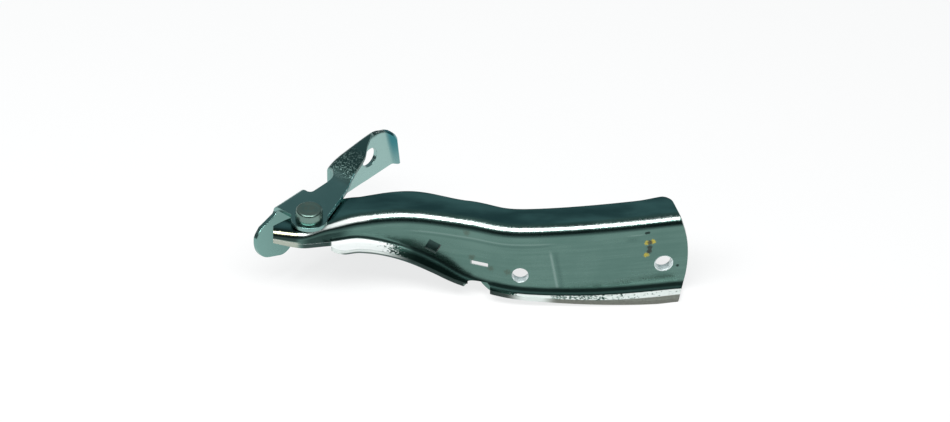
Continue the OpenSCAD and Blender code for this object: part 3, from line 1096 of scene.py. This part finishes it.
@dataclass
class HingeArm(Piece):
    """Long pressing that carries the bonnet."""

    sheet: float = 2.6
    bend_radius: float = 6.2
    neck_bend_radius: float = 4.0
    lip_radius: float = 2.6
    reach: float = 205.8
    neck: float = 19.6
    stand: float = 10.3
    hump: float = 17.5
    sag: float = 13.5
    tip_rise: float = 11.3
    flange_width: float = 20.0
    hump_width: float = 2.8
    depth: float = 46.0
    lip_width: float = 11.0
    lip_start: float = 12.0
    hole: float = 9.0
    holes: tuple[Pair, Pair] = ((114.5, 30.4), (192.6, 28.9))
    collar_wall: float = 1.6
    collar_length: float = 5.2
    mouth: float = 0.45
    slot_at: Pair = (92.2, 26.1)
    slot_size: Pair = (10.3, 2.1)
    slot_tilt: float = 30.0
    lance_at: Pair = (67.0, 19.4)
    lance_side: float = 7.2
    lance_turn: float = 26.0
    lance_tilt: float = 4.0
    lance_depth: float = 1.3
    notch_at: float = 88.5
    notch_width: float = 14.6
    notch_back: float = 3.4
    pivot_hole: float = 4.44
    rim: float = 0.35
    crease_at: float = 133.0
    crease_width: float = 1.8
    crease_depth: float = 0.35
    pad_height: float = 0.22
    pad_start: Pair = (171.0, 177.0)
    ledge_height: float = 0.25
    ledge_start: Pair = (48.0, 56.0)
    ledge_end: Pair = (124.0, 132.0)
    tip_corner: float = 6.0
    tip_bow: Pair = (4.5, 3.0)
    tip_run: float = 30.0
    smooth_angle: float = 38.0
    web: Curve = field(init=False)
    flange: Curve = field(init=False)
    lip: Curve = field(init=False)
    lip_out: Curve = field(init=False)

    def __post_init__(self) -> None:
        """Works out the curves of the pressing from its sizes."""
        crest = self.hump - self.stand
        low = crest - self.sag
        r = self.reach
        self.web = Curve([
            (-self.neck, 2 - self.stand), (-0.015 * r, -self.stand),
            (0.056 * r, 0.43 * self.hump - self.stand), (0.132 * r, 0.82 * self.hump - self.stand),
            (0.260 * r, crest), (0.412 * r, crest - 0.47 * self.sag),
            (0.513 * r, crest - 0.95 * self.sag), (0.600 * r, low),
            (0.765 * r, low + 0.30 * self.tip_rise), (r, low + self.tip_rise),
        ])
        w = self.flange_width
        self.flange = Curve([
            (-self.neck, 6), (-7, 0.86 * w), (8, w), (0.132 * r, w),
            (0.270 * r, w + self.hump_width), (0.400 * r, w), (r, w + 0.6),
        ])
        d = self.depth
        self.lip = Curve([
            (-self.neck, 4.7), (0, 7.3), (self.lip_start, 10.8), (0.136 * r, 0.300 * d),
            (0.235 * r, 0.456 * d), (0.333 * r, 0.640 * d), (0.412 * r, 0.812 * d),
            (0.510 * r, 0.876 * d), (0.745 * r, 0.968 * d), (r, d),
        ])
        o = self.lip_width
        self.lip_out = Curve([
            (self.lip_start, 0.36 * o), (self.lip_start + 1.5, 0.52 * o),
            (self.lip_start + 4, 0.70 * o), (self.lip_start + 9, 0.86 * o), (0.186 * r, 0.79 * o),
            (0.343 * r, 0.73 * o), (0.412 * r, 0.45 * o), (0.470 * r, 0.36 * o),
            (0.610 * r, 0.45 * o), (0.716 * r, 0.60 * o), (0.931 * r, o), (r, o),
        ])

    def slope(self, x: float) -> float:
        """Slope of the web in plan at x."""
        return self.web.at(x + 0.5) - self.web.at(x - 0.5)

    def dent(self, x: float, z: float) -> float:
        """How far the web stands forward of its smooth form.

        Args:
            x: Place along the arm.
            z: Height under the flange, below 0.

        Returns:
            Distance in mm.
        """
        inside = ease(-z, 9.0, 12.0) * (1.0 - ease(-z, 0.8 * self.depth, 0.92 * self.depth))
        leaning = x + LAYOUT.crease_lean * (z + LAYOUT.crease_level)
        crease = -self.crease_depth * bell(leaning, self.crease_at, self.crease_width)
        crease *= ease(-z, 14.0, 20.0)
        pad = self.pad_height * ease(x, *self.pad_start)
        ledge = self.ledge_height * ease(-z, 9.2, 10.2) * ease(x, *self.ledge_start)
        ledge *= 1.0 - ease(x, *self.ledge_end)
        return inside * (crease + pad) + ledge * (1.0 - ease(-z, 12.0, 20.0))

    def section(self, x: float) -> list[Pair]:
        """Closed section of the pressing at x.

        Args:
            x: Place along the arm.

        Returns:
            Points as distance behind the web's front face and height, front side first.
        """
        lipped = x > self.lip_start
        top = mix(self.neck_bend_radius, self.bend_radius, ease(x, 3, 22))
        low = self.lip_radius + 1.2 * (1 - ease(x, 30, 80)) if lipped else 0.05
        out = self.lip_out.at(x) if lipped else 0.1
        fold = low - self.lip.at(x)
        corner = self.tip_corner
        over = max(x - self.reach + corner, 0.0)
        rounded = corner - math.sqrt(max(corner * corner - over * over, 0.04))
        edge = self.flange.at(x) - rounded
        t = self.sheet
        r = self.rim
        c = CORNER_SHARE * r
        front: list[Pair] = [(edge, -r), (edge - c, -c), (edge - r, 0.0)]
        back: list[Pair] = [(edge, r - t), (edge - c, c - t), (edge - r, -t)]
        for i in range(FLANGE_STEPS):
            p = mix(edge - 2.5 * r, top, i / FLANGE_STEPS)
            front.append((p, 0.0))
            back.append((p, -t))
        for i in range(BEND_STEPS + 1):
            a = math.pi * i / (2 * BEND_STEPS)
            front.append((top * (1 - math.sin(a)), top * (math.cos(a) - 1)))
            back.append((top - (top - t) * math.sin(a), (top - t) * math.cos(a) - top))
        for i in range(1, WEB_STEPS):
            z = mix(-top, fold, i / WEB_STEPS)
            push = self.dent(x, z)
            front.append((-push, z))
            back.append((t - push, z))
        for i in range(LIP_BEND_STEPS + 1):
            a = math.pi * i / (2 * LIP_BEND_STEPS)
            front.append((low * (math.cos(a) - 1), fold - low * math.sin(a)))
            back.append(((low + t) * math.cos(a) - low, fold - (low + t) * math.sin(a)))
        r = min(r, 0.35 * (out - low))
        c = CORNER_SHARE * r
        upper, under = fold - low, fold - low - t
        for i in range(1, LIP_STEPS + 1):
            p = mix(low, out - 2.5 * r, i / LIP_STEPS)
            front.append((-p, upper))
            back.append((-p, under))
        front += [(r - out, upper), (c - out, upper - c), (-out, upper - r)]
        back += [(r - out, under), (c - out, under + c), (-out, under + r)]
        return front + back[::-1]

    def stations(self) -> list[Pair]:
        """Places along the arm at which its section is drawn.

        Returns:
            Each place, and how far the sheet's faces are eased in there, in mm.
        """
        r = self.rim
        ends = [(0.0, 1.0), (0.15 * r, 0.55), (0.45 * r, 0.2), (r, 0.0)]
        low, high = -self.neck, self.reach
        start = self.lip_start
        places = [(low + d, e * r) for d, e in ends]
        inner = spread(low + 0.9, start - 0.04, 34) + spread(start + 0.04, high - 8, 228)
        inner += spread(high - 7.6, high - 0.7, 12)
        places += [(x, 0.0) for x in inner]
        places += [(high - d, e * r) for d, e in ends[::-1]]
        return places

    def drawn_back(self, x: float, p: float, z: float) -> float:
        """How far the bowed end of the arm is drawn back at a point.

        Args:
            x: Place along the arm.
            p: Distance behind the web's front face.
            z: Height under the flange, below 0.

        Returns:
            Distance in mm.
        """
        half = self.depth / 2
        bow = self.tip_bow[0] if z > -half else self.tip_bow[1]
        back = bow * (z / half + 1) ** 2 + 0.3 * max(p - 3, 0) + 0.15 * max(-p, 0)
        return ease(x, self.reach - self.tip_run, self.reach) * back

    def ring(self, x: float, eased: float) -> list[Vector]:
        """Section of the pressing at its place.

        Args:
            x: Place along the arm.
            eased: How far the sheet's faces are eased in.

        Returns:
            Points in metres.
        """
        points = self.section(x)
        if eased > 0.0:
            share = eased / self.sheet
            points = [
                (mix(p[0], q[0], share), mix(p[1], q[1], share))
                for p, q in zip(points, points[::-1])
            ]
        stretch = math.hypot(1.0, self.slope(x))
        across = self.web.at(x)
        return [
            LAYOUT.row(x - self.drawn_back(x, p, z), across + p * stretch, z) * MM
            for p, z in points
        ]

    def pressing(self) -> bpy.types.Object:
        """Sheet of the arm before its holes.

        Returns:
            The closed mesh.
        """
        rings = [self.ring(x, eased) for x, eased in self.stations()]
        count = len(rings[0])
        arm = Bench.rolled(
            "arm_pressing", len(rings), count + 1, lambda i, j: rings[i][j % count]
        )
        Bench.seal(arm, 0.0005 * MM)
        return arm

    def on_web(self, x: float, drop: float) -> Matrix:
        """Frame on the web's front face: x along it, y up, z to the front.

        Args:
            x: Place along the arm.
            drop: Depth under the flange.

        Returns:
            The frame, in mm.
        """
        turn = math.atan(self.slope(x))
        c, s = math.cos(turn), math.sin(turn)
        at = LAYOUT.row(x, self.web.at(x), -drop)
        return Matrix(((c, 0, s, at.x), (s, 0, -c, at.y), (0, 1, 0, at.z), (0, 0, 0, 1)))

    def collars(self) -> bpy.types.Object:
        """Drawn collars behind the bonnet bolt holes, still filled.

        Returns:
            Both collars as one mesh.
        """
        r = self.hole / 2 + self.collar_wall
        end, root = -self.collar_length, -self.sheet
        profile = [(0.0, -1.3), (r + 1.0, -1.3), (r + 1.0, root + 0.05)]
        for i in range(7):
            a = math.pi * i / 12
            profile.append((r + 1.0 - math.sin(a), root - 1.0 + math.cos(a)))
        profile += [(r, end + 0.5), (r - 0.15, end + 0.15), (r - 0.5, end), (0.0, end)]
        made = [Bench.lathe("collar", profile, 64, self.on_web(*at)) for at in self.holes]
        return Bench.mark(Bench.gather(made), Mark.WEB)

    def bores(self) -> list[bpy.types.Object]:
        """Cutters of the bonnet bolt holes, with their rounded mouths.

        Returns:
            One closed form for each hole.
        """
        r, m = self.hole / 2, self.mouth
        profile = [(0.0, 3.0), (r + m + 0.3, 3.0), (r + m + 0.3, 0.2)]
        for i in range(9):
            a = math.pi * i / 16
            profile.append((r + m - m * math.sin(a), m * (math.cos(a) - 1)))
        end = -self.collar_length
        profile += [(r, end + 0.35), (r + 0.35, end - 0.05), (r + 0.35, end - 2), (0.0, end - 2)]
        made = [Bench.lathe("bore", profile, 72, self.on_web(*at)) for at in self.holes]
        return [Bench.mark(bore, Mark.BORE) for bore in made]

    def notch(self) -> bpy.types.Object:
        """Cutter of the notch in the lip.

        Returns:
            Its closed form.
        """
        w, o = self.notch_width, self.lip_width
        outline = [
            (-1.2, 0), (-0.34 * w, -0.70 * o), (-0.34 * w, -1.6 * o), (0.66 * w, -1.6 * o),
            (0.66 * w, -0.70 * o), (1.2, 0),
        ]
        low, high = -self.depth - 2 * self.sheet, 0.6 - self.lip.at(self.notch_at)
        notch = Bench.slab("notch", outline, low, high)
        across = self.web.at(self.notch_at) + self.notch_back
        shift = LAYOUT.row(self.notch_at, across, 0.0)
        for vertex in notch.data.vertices:
            vertex.co = (vertex.co + shift) * MM
        return notch

    def cutters(self) -> bpy.types.Object:
        """All that is cut out of the arm.

        Returns:
            One mesh of separate closed forms.
        """
        through = 4 * self.sheet
        made = self.bores()
        tilt = Matrix.Rotation(math.radians(-self.slot_tilt), 4, "X")
        slot = Bench.block(
            "slot", (*self.slot_size, through), self.on_web(*self.slot_at) @ tilt, 0.35
        )
        made.append(Bench.mark(slot, Mark.WEB))
        size = (self.lance_side, self.lance_side, through)
        window = Bench.block("window", size, self.lanced(), 0.25)
        made.append(Bench.mark(window, Mark.WINDOW))
        hole = [(0.0, 2.0), (self.pivot_hole, 2.0), (self.pivot_hole, -8.0), (0.0, -8.0)]
        made.append(Bench.mark(Bench.lathe("pivot_hole", hole, 64, LAYOUT.pivot()), Mark.WEB))
        made.append(Bench.mark(self.notch(), Mark.WEB))
        return Bench.gather(made)

    def lanced(self) -> Matrix:
        """Frame of the lanced square on the web, in mm."""
        turn = Matrix.Rotation(math.radians(-self.lance_turn), 4, "Z")
        return self.on_web(*self.lance_at) @ turn

    def tongue(self) -> bpy.types.Object:
        """Lanced tongue that is pushed into its window.

        Returns:
            The tongue.
        """
        side, thick = self.lance_side - 0.06, 0.6 * self.sheet
        at = self.lanced() @ Matrix.Translation((-0.5 * side, 0, -self.lance_depth))
        at = at @ Matrix.Rotation(math.radians(self.lance_tilt), 4, "Y")
        at = at @ Matrix.Translation((0.5 * side, 0, -0.5 * thick))
        return Bench.mark(Bench.block("tongue", (side, side, thick), at, 0.2), Mark.LANCE)

    def build(self) -> bpy.types.Object:
        """Makes and dresses the arm.

        Returns:
            The piece.
        """
        arm = self.pressing()
        Bench.work(arm, self.collars(), Cut.JOIN)
        Bench.work(arm, self.cutters(), Cut.TAKE_AWAY)
        Bench.clean(arm)
        arm = Bench.gather([arm, self.tongue()])
        arm.name = "arm_pressing"
        Bench.smooth(arm, self.smooth_angle)
        self.dress(arm)
        return arm


@dataclass
class BodyBracket(Piece):
    """Short folded pressing that bolts to the body."""

    sheet: float = 2.5
    bend: float = 4.2
    wall_offset: float = 22.8
    plate_radius: float = 10.0
    plate_left: float = -4.0
    tongue_radius: float = 16.0
    tongue_at: Pair = (-4.2, -12.44)
    tongue_right: float = 17.8
    relief_depth: float = 7.6
    ear_left: float = 39.4
    ear_bottom: float = -18.5
    ear_reach: float = 89.0
    flare_turn: float = 46.0
    flare_radius: float = 2.5
    flare_edge: float = 95.17
    body_hole: float = 11.2
    body_hole_at: Pair = (LAYOUT.body_bolt[0], LAYOUT.origin[2])
    rim: float = 0.32
    rim_angle: float = 50.0
    climb_start: float = 31.0
    climb_end: float = 79.0
    strap_end: float = 92.3
    flare_side: float = 60.0
    flare_heights: tuple[float, ...] = (-2.5, -5.0, -8.0, -11.0, -14.5, -17.0, -17.9)
    ear_foot: tuple[Pair, ...] = (
        (94.2, -0.1), (90.0, 0.2), (84.0, 0.2), (70.0, 0.0), (50.0, 0.0), (46.2, 0.5),
        (42.4, 4.0), (40.0, 7.8), (39.5, 10.0),
    )
    tongue_side: tuple[Pair, ...] = ((0.0, 4.0), (-0.4, 1.6), (-3.6, -5.0), (-5.0, -7.2))
    tongue_foot: tuple[Pair, ...] = (
        (11.0, -11.2), (9.4, -14.6), (7.6, -16.8), (5.6, -18.1), (3.2, -18.8), (1.0, -18.9),
        (-1.2, -18.4), (-3.4, -17.5),
    )
    tongue_shoulder: tuple[Pair, ...] = ((-19.0, -8.0), (-16.0, -4.9), (-9.0, -2.9), (-5.0, -1.75))
    climb: Curve = field(init=False)
    strap: Curve = field(init=False)

    def __post_init__(self) -> None:
        """Sets up how the strap climbs, and its free edge on the flat sheet."""
        self.climb = Curve([
            (self.climb_start, 0.0), (34.0, 0.35), (36.5, 1.35), (39.8, 3.50), (43.5, 5.2),
            (47.7, 6.2), (56.5, 7.1), (63.9, 7.8), (71.3, 8.2), (77.0, 8.2), (100.0, 8.2),
        ])
        self.strap = Curve([
            (self.ear_left, 4.2), (44.0, 5.2), (55.0, 8.9), (63.5, 14.6), (68.0, 17.1),
            (72.0, 19.4), (75.0, 21.1), (78.0, 22.0), (80.0, 22.7), (83.0, 23.8), (85.0, 24.6),
            (87.0, 25.6), (89.0, 26.9), (90.5, 28.2), (91.6, 29.7), (self.strap_end, 31.2),
        ])

    def rise(self, s: float) -> float:
        """How far the strap has climbed above the plate at s."""
        return self.climb.at(s) if s > self.climb_start else 0.0

    @property
    def fold_out(self) -> float:
        """Where the plate starts to fold."""
        return self.wall_offset - self.bend

    @property
    def middle(self) -> float:
        """Radius at which the fold keeps its length."""
        return self.bend - self.sheet / 2

    @property
    def wall_start(self) -> float:
        """Where the fold ends, along the flat sheet."""
        return self.fold_out + self.middle * math.pi / 2

    @property
    def flare_middle(self) -> float:
        """Radius at which the flare's bend keeps its length."""
        return self.flare_radius + self.sheet / 2

    def flat(self, x: float, z: float) -> Pair:
        """Point of the wall, along it and up, as a place on the flat sheet."""
        return (x, self.wall_start + LAYOUT.plate_top + self.rise(x) - self.bend - z)

    @staticmethod
    def arc(centre: Pair, radius: float, start: float, end: float, steps: int) -> list[Pair]:
        """Points of an arc.

        Args:
            centre: Its centre.
            radius: Its radius.
            start: Angle of its first point, in degrees.
            end: Angle of its last point, in degrees.
            steps: Steps between them.

        Returns:
            The points, in order.
        """
        angles = [math.radians(a) for a in spread(start, end, steps)]
        x, y = centre
        return [(x + radius * math.cos(a), y + radius * math.sin(a)) for a in angles]

    def outline(self) -> list[Pair]:
        """Outline of the flat sheet before it is folded.

        Returns:
            Corners in mm: along the wall, and out from the pivot.
        """
        points = self.arc((0, 0), self.plate_radius, 113.6, 318.7, 40)
        points += [(s, self.strap.at(s)) for s in spread(self.ear_left, self.strap_end, 36)]
        low = self.ear_bottom
        wall = [(self.flare_edge - 0.16 * (z - low), z) for z in self.flare_heights]
        wall += [(x, low + rise) for x, rise in self.ear_foot]
        points += [self.flat(x, z) for x, z in wall]
        relief = self.wall_offset - self.relief_depth
        right = self.tongue_right
        points += self.arc((self.ear_left - 5, relief + 5), 5, 0, -90, 8)
        points += self.arc((right + 2.5, relief + 2.5), 2.5, 270, 180, 6)
        tz = self.tongue_at[1]
        wall = [(right + x, tz + z) for x, z in self.tongue_side]
        wall += [(x, tz + z) for x, z in self.tongue_foot]
        wall += self.arc(self.tongue_at, self.tongue_radius, -112, -190, 24)
        wall += self.tongue_shoulder
        points += [self.flat(x, z) for x, z in wall]
        points += [(self.plate_left, self.fold_out + 4.5), (self.plate_left, self.fold_out)]
        return points

    def folded(self, s: float, t: float, n: float) -> Vector:
        """Where a point of the flat sheet lies once the bracket is folded.

        Args:
            s: Along the wall.
            t: Out from the pivot along the flat sheet.
            n: Depth under the sheet's outer face.

        Returns:
            Place in the part's frame, in mm.
        """
        radius = self.bend - n
        if t <= self.fold_out:
            out, up = t, -n
        elif t < self.wall_start:
            a = (t - self.fold_out) / self.middle
            out, up = self.fold_out + radius * math.sin(a), radius * math.cos(a) - self.bend
        else:
            out, up = self.wall_offset - n, self.wall_start - t - self.bend
        x, z = s, LAYOUT.plate_top + self.rise(s) + up
        if s > self.flare_side:
            x, out, z = self.flared(x, out, z)
        turn = math.radians(LAYOUT.bracket_turn)
        cos_turn, sin_turn = math.cos(turn), math.sin(turn)
        return LAYOUT.row(x * cos_turn - out * sin_turn, x * sin_turn + out * cos_turn, z)

    def flared(self, x: float, y: float, z: float) -> Triple:
        """Turns the end of the ear inwards along its leaning bend line.

        Args:
            x: Along the wall.
            y: Out from the pivot.
            z: Height.

        Returns:
            The turned place.
        """
        lean = math.radians(LAYOUT.flare_lean)
        centre = self.wall_offset - self.sheet - self.flare_radius
        dx, dz = x - self.ear_reach, z - self.ear_bottom
        across = dx * math.cos(lean) + dz * math.sin(lean)
        up = dz * math.cos(lean) - dx * math.sin(lean)
        if across <= 0.0:
            return x, y, z
        most = math.radians(self.flare_turn)
        a = min(across / self.flare_middle, most)
        rest = across - a * self.flare_middle
        radius = y - centre
        across = radius * math.sin(a) + rest * math.cos(a)
        y = centre + radius * math.cos(a) - rest * math.sin(a)
        return (
            self.ear_reach + across * math.cos(lean) - up * math.sin(lean),
            y,
            self.ear_bottom + across * math.sin(lean) + up * math.cos(lean),
        )

    def crease(self, piece: bpy.types.Object, point: Pair, normal: Pair) -> None:
        """Cuts the flat sheet's faces along a line, so that they can bend there.

        Args:
            piece: The flat sheet.
            point: A point of the line.
            normal: Direction square to the line.
        """
        Bench.edit(piece)
        bpy.ops.mesh.bisect(
            plane_co=(*point, 0), plane_no=(*normal, 0), use_fill=False, threshold=0.00001
        )
        Bench.close()

    def creases(self, piece: bpy.types.Object) -> None:
        """Cuts the flat sheet along the fold, along the strap's climb and along the flare.

        Args:
            piece: The flat sheet.
        """
        for t in spread(self.fold_out, self.wall_start, 16):
            self.crease(piece, (0, t), (0, 1))
        for s in spread(self.climb_start, self.climb_end, 32):
            self.crease(piece, (s, 0), (1, 0))
        lean = math.radians(LAYOUT.flare_lean)
        across = (math.cos(lean), -math.sin(lean))
        base = self.flat(self.ear_reach, self.ear_bottom)
        for i in range(13):
            d = self.flare_middle * math.radians(self.flare_turn) * i / 12
            self.crease(piece, (base[0] + d * across[0], base[1] + d * across[1]), across)

    def build(self) -> bpy.types.Object:
        """Makes, folds and dresses the bracket.

        Returns:
            The piece.
        """
        piece = Bench.slab("bracket_pressing", self.outline(), -self.sheet, 0.0)
        for at, radius in (
            (self.flat(*self.body_hole_at), self.body_hole / 2),
            ((0.0, 0.0), LAYOUT.shank + 0.02),
        ):
            Bench.clear()
            bpy.ops.mesh.primitive_cylinder_add(
                vertices=64, radius=radius, depth=3 * self.sheet, location=(*at, -self.sheet / 2)
            )
            Bench.work(piece, Bench.named("drill"), Cut.TAKE_AWAY)
        Bench.apply(
            piece, "BEVEL", width=self.rim, segments=BEVEL_SEGMENTS, limit_method="ANGLE",
            angle_limit=math.radians(self.rim_angle), use_clamp_overlap=True,
        )
        self.creases(piece)
        for vertex in piece.data.vertices:
            vertex.co = self.folded(vertex.co.x, vertex.co.y, -vertex.co.z) * MM
        Bench.edit(piece)
        bpy.ops.mesh.normals_make_consistent(inside=False)
        Bench.close()
        Bench.smooth(piece, self.rim_angle)
        self.dress(piece)
        return piece


@dataclass
class TurnedPiece(Piece):
    """Piece of the pivot that is round about the pivot axis."""

    name: str
    profile: tuple[Pair, ...]
    steps: int = 96
    smooth_angle: float = 40.0

    def build(self) -> bpy.types.Object:
        """Turns and dresses the piece.

        Returns:
            The piece.
        """
        piece = Bench.lathe(self.name, self.profile, self.steps, LAYOUT.pivot())
        Bench.smooth(piece, self.smooth_angle)
        self.dress(piece)
        return piece


def ring_profile(
    inner: float, outer: float, low: float, high: float, soft: float = 0.15
) -> tuple[Pair, ...]:
    """Section of a ring with eased corners.

    Args:
        inner: Radius of its bore.
        outer: Outer radius.
        low: Height of its lower face.
        high: Height of its upper face.
        soft: Width of its eased corners.

    Returns:
        Closed loop of radius and height.
    """
    s, h = soft, CORNER_SHARE * soft
    loop = [
        (inner, low + s), (inner + h, low + h), (inner + s, low),
        (outer - s, low), (outer - h, low + h), (outer, low + s),
        (outer, high - s), (outer - h, high - h), (outer - s, high),
        (inner + s, high), (inner + h, high - h), (inner, high - s),
    ]
    return tuple(loop + loop[:1])


def rivet_profile() -> tuple[Pair, ...]:
    """Section of the rivet from its tail to the middle of its head.

    Returns:
        Outline of radius and height.
    """
    head, top = LAYOUT.plate_top, LAYOUT.head_top
    seat, end = LAYOUT.tail_seat, LAYOUT.tail_end
    tail = [
        (0.0, end), (2.6, end), (3.6, -6.8), (4.5, -6.2), (4.9, -5.4), (5.0, -4.7), (4.9, seat),
    ]
    shank = [(LAYOUT.shank, seat), (LAYOUT.shank, head)]
    barrel = [
        (7.1, head), (7.35, head + 0.15), (7.5, head + 0.6), (7.55, head + 1.3),
        (7.54, head + 2.2), (7.48, head + 3.2), (7.36, top - 1.7), (7.26, top - 1.2),
        (7.1, top - 0.7), (6.85, top - 0.32), (6.5, top - 0.1), (6.1, top - 0.02),
    ]
    face = [
        (5.6, top), (4.4, top - 0.05), (3.9, top - 0.12), (3.4, top - 0.06), (2.0, top - 0.04),
        (0.0, top - 0.05),
    ]
    return tuple(tail + shank + barrel + face)


@dataclass
class Studio:
    """Pale floor, soft light and the camera."""

    elevation: float = 36.0
    target: Triple = (0.0589, -0.0645, 0.0098)
    distance: float = 10.0
    lens: float = 698.0
    sensor: float = 36.0
    haze: float = 0.78
    floor_size: float = 16.0
    floor_dim: Triple = (0.93, 0.93, 0.93)
    floor_light: Triple = (0.95, 0.95, 0.95)
    lamp_at: Triple = (-0.10, -0.56, 0.98)
    lamp_aim: Triple = (0.0, -0.05, 0.0)
    lamp_size: Pair = (1.5, 0.42)
    lamp_power: float = 20.0
    room_tone: Triple = (0.42, 0.56, 0.60)
    room_dim: float = 0.30
    room_strength: float = 0.45

    def floor(self, height: float) -> None:
        """Lays the pale floor.

        Args:
            height: Its height in metres.
        """
        Bench.clear()
        bpy.ops.mesh.primitive_plane_add(size=self.floor_size, location=(0, 0, height))
        floor = Bench.named("floor")
        r = Recipe("pale_floor")
        tone = r.noise(3.0)
        r.set(Base_Color=r.blend(self.floor_dim, self.floor_light, tone), Roughness=0.9)
        seen = r.node("ShaderNodeLightPath", {}, {}, "Is Camera Ray")
        ways = seen.socket.node.outputs
        for way in ("Is Glossy Ray", "Is Transmission Ray"):
            seen = seen.most(Link(r, ways[way]))
        glow = r.node("ShaderNodeEmission", {}, {"Color": (1.0, 1.0, 1.0, 1.0), "Strength": 1.0})
        lit = Link(r, r.shader.outputs[0])
        white = r.node("ShaderNodeMixShader", {}, {0: seen * self.haze, 1: lit, 2: glow})
        r.links.new(white.socket, r.nodes["Material Output"].inputs["Surface"])
        floor.data.materials.append(r.material)
        floor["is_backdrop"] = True

    def softbox(self) -> None:
        """Hangs the soft rectangular lamp over the object."""
        lamp = bpy.data.lights.new("overhead", "AREA")
        lamp.shape = "RECTANGLE"
        lamp.size, lamp.size_y = self.lamp_size
        lamp.energy = self.lamp_power
        made = bpy.data.objects.new("overhead", lamp)
        made.location = self.lamp_at
        facing = Vector(self.lamp_aim) - Vector(self.lamp_at)
        made.rotation_euler = facing.to_track_quat("-Z", "Y").to_euler()
        bpy.context.scene.collection.objects.link(made)

    def world(self) -> None:
        """Gives the room its dim light, which is stronger from above and behind the object."""
        world = bpy.data.worlds.new("room")
        world.use_nodes = True
        room = Tree(world.node_tree)
        way = room.node("ShaderNodeTexCoord", {}, {}, "Generated")
        e = math.radians(self.elevation)
        toward = room.node(
            "ShaderNodeVectorMath", {"operation": "DOT_PRODUCT"},
            {0: way, 1: (0.0, math.cos(e), math.sin(e))}, "Value",
        )
        dim = tuple(self.room_dim * part for part in self.room_tone)
        tone = room.blend(dim, self.room_tone, toward.step(0.45, 0.95))
        back = room.nodes["Background"]
        room.links.new(tone.socket, back.inputs["Color"])
        back.inputs["Strength"].default_value = self.room_strength
        bpy.context.scene.world = world

    def camera(self) -> None:
        """Sets up the camera at the photograph's angle."""
        data = bpy.data.cameras.new("camera")
        data.lens = self.lens
        data.sensor_width = self.sensor
        made = bpy.data.objects.new("camera", data)
        e = math.radians(self.elevation)
        made.location = Vector(self.target) + self.distance * Vector((0, -math.cos(e), math.sin(e)))
        made.rotation_euler = (math.pi / 2 - e, 0, 0)
        bpy.context.scene.collection.objects.link(made)
        bpy.context.scene.camera = made

    def build(self, floor_height: float) -> None:
        """Sets up the whole studio.

        Args:
            floor_height: Height of the floor in metres.
        """
        self.floor(floor_height)
        self.softbox()
        self.world()
        self.camera()
        bpy.context.scene.view_settings.view_transform = "Standard"


def on_arm(arm: HingeArm, places: Sequence[Pair]) -> tuple[Triple, ...]:
    """Points of the web's front face in metres, from lengths and depths on the arm in mm."""
    return tuple(tuple(LAYOUT.row(x, arm.web.at(x), -drop) * MM) for x, drop in places)


def main() -> None:
    """Builds the hinge piece by piece, then the studio."""
    logging.basicConfig(level=logging.INFO, format="%(message)s")
    cad_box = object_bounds()
    arm = HingeArm("hinge_arm", Body.ARM, "zinc_arm", None)
    arm.finish = ArmZinc(
        "arm_zinc",
        rust=on_arm(arm, ((85.5, 7.0), (88.2, 22.8), (98.5, 27.7), (107.6, 28.6))),
        dots=on_arm(arm, ((183.2, 7.6), (184.4, 7.5), (200.1, 31.2))),
        yellow=on_arm(arm, ((186.6, 13.6), (183.5, 14.0), (183.1, 21.9))),
        black=on_arm(arm, ((185.0, 14.0), (184.9, 17.2), (184.6, 19.8))),
    )
    bracket = BodyBracket(
        "body_bracket", Body.BRACKET, "zinc_bracket",
        BracketZinc("bracket_zinc", light=(0.250, 0.410, 0.385), dark=(0.195, 0.350, 0.325)),
    )
    dull = RivetSteel(
        "rivet_steel", light=(0.200, 0.300, 0.262), dark=(0.145, 0.235, 0.205), gloss=0.20
    )
    rivet = TurnedPiece(
        "pivot_rivet", Body.BRACKET, "rivet_steel", dull, "rivet", rivet_profile()
    )
    steel = RingMetal(
        "washer_steel", light=(0.120, 0.190, 0.170), dark=(0.080, 0.140, 0.125), gloss=0.30
    )
    washer = TurnedPiece(
        "thrust_washer", Body.BRACKET, "washer_steel", steel, "thrust_ring",
        ring_profile(inner=LAYOUT.shank, outer=8.5, low=0.06, high=1.06),
    )
    tail_ring = TurnedPiece(
        "tail_washer", Body.BRACKET, "washer_steel", steel, "tail_ring",
        ring_profile(inner=LAYOUT.shank, outer=5.3, low=LAYOUT.tail_seat, high=-3.36),
    )
    bronze = RingMetal(
        "bush_bronze", light=(0.48, 0.31, 0.15), dark=(0.36, 0.22, 0.10), gloss=0.30
    )
    bush = TurnedPiece(
        "pivot_bush", Body.ARM, "bush_bronze", bronze, "bush",
        ring_profile(inner=3.54, outer=arm.pivot_hole, low=-3.3, high=0.0),
    )
    for part in (arm, bracket, rivet, washer, tail_ring, bush):
        part.build()
    Studio().build(cad_box[0][2])


if __name__ == "__main__":
    main()
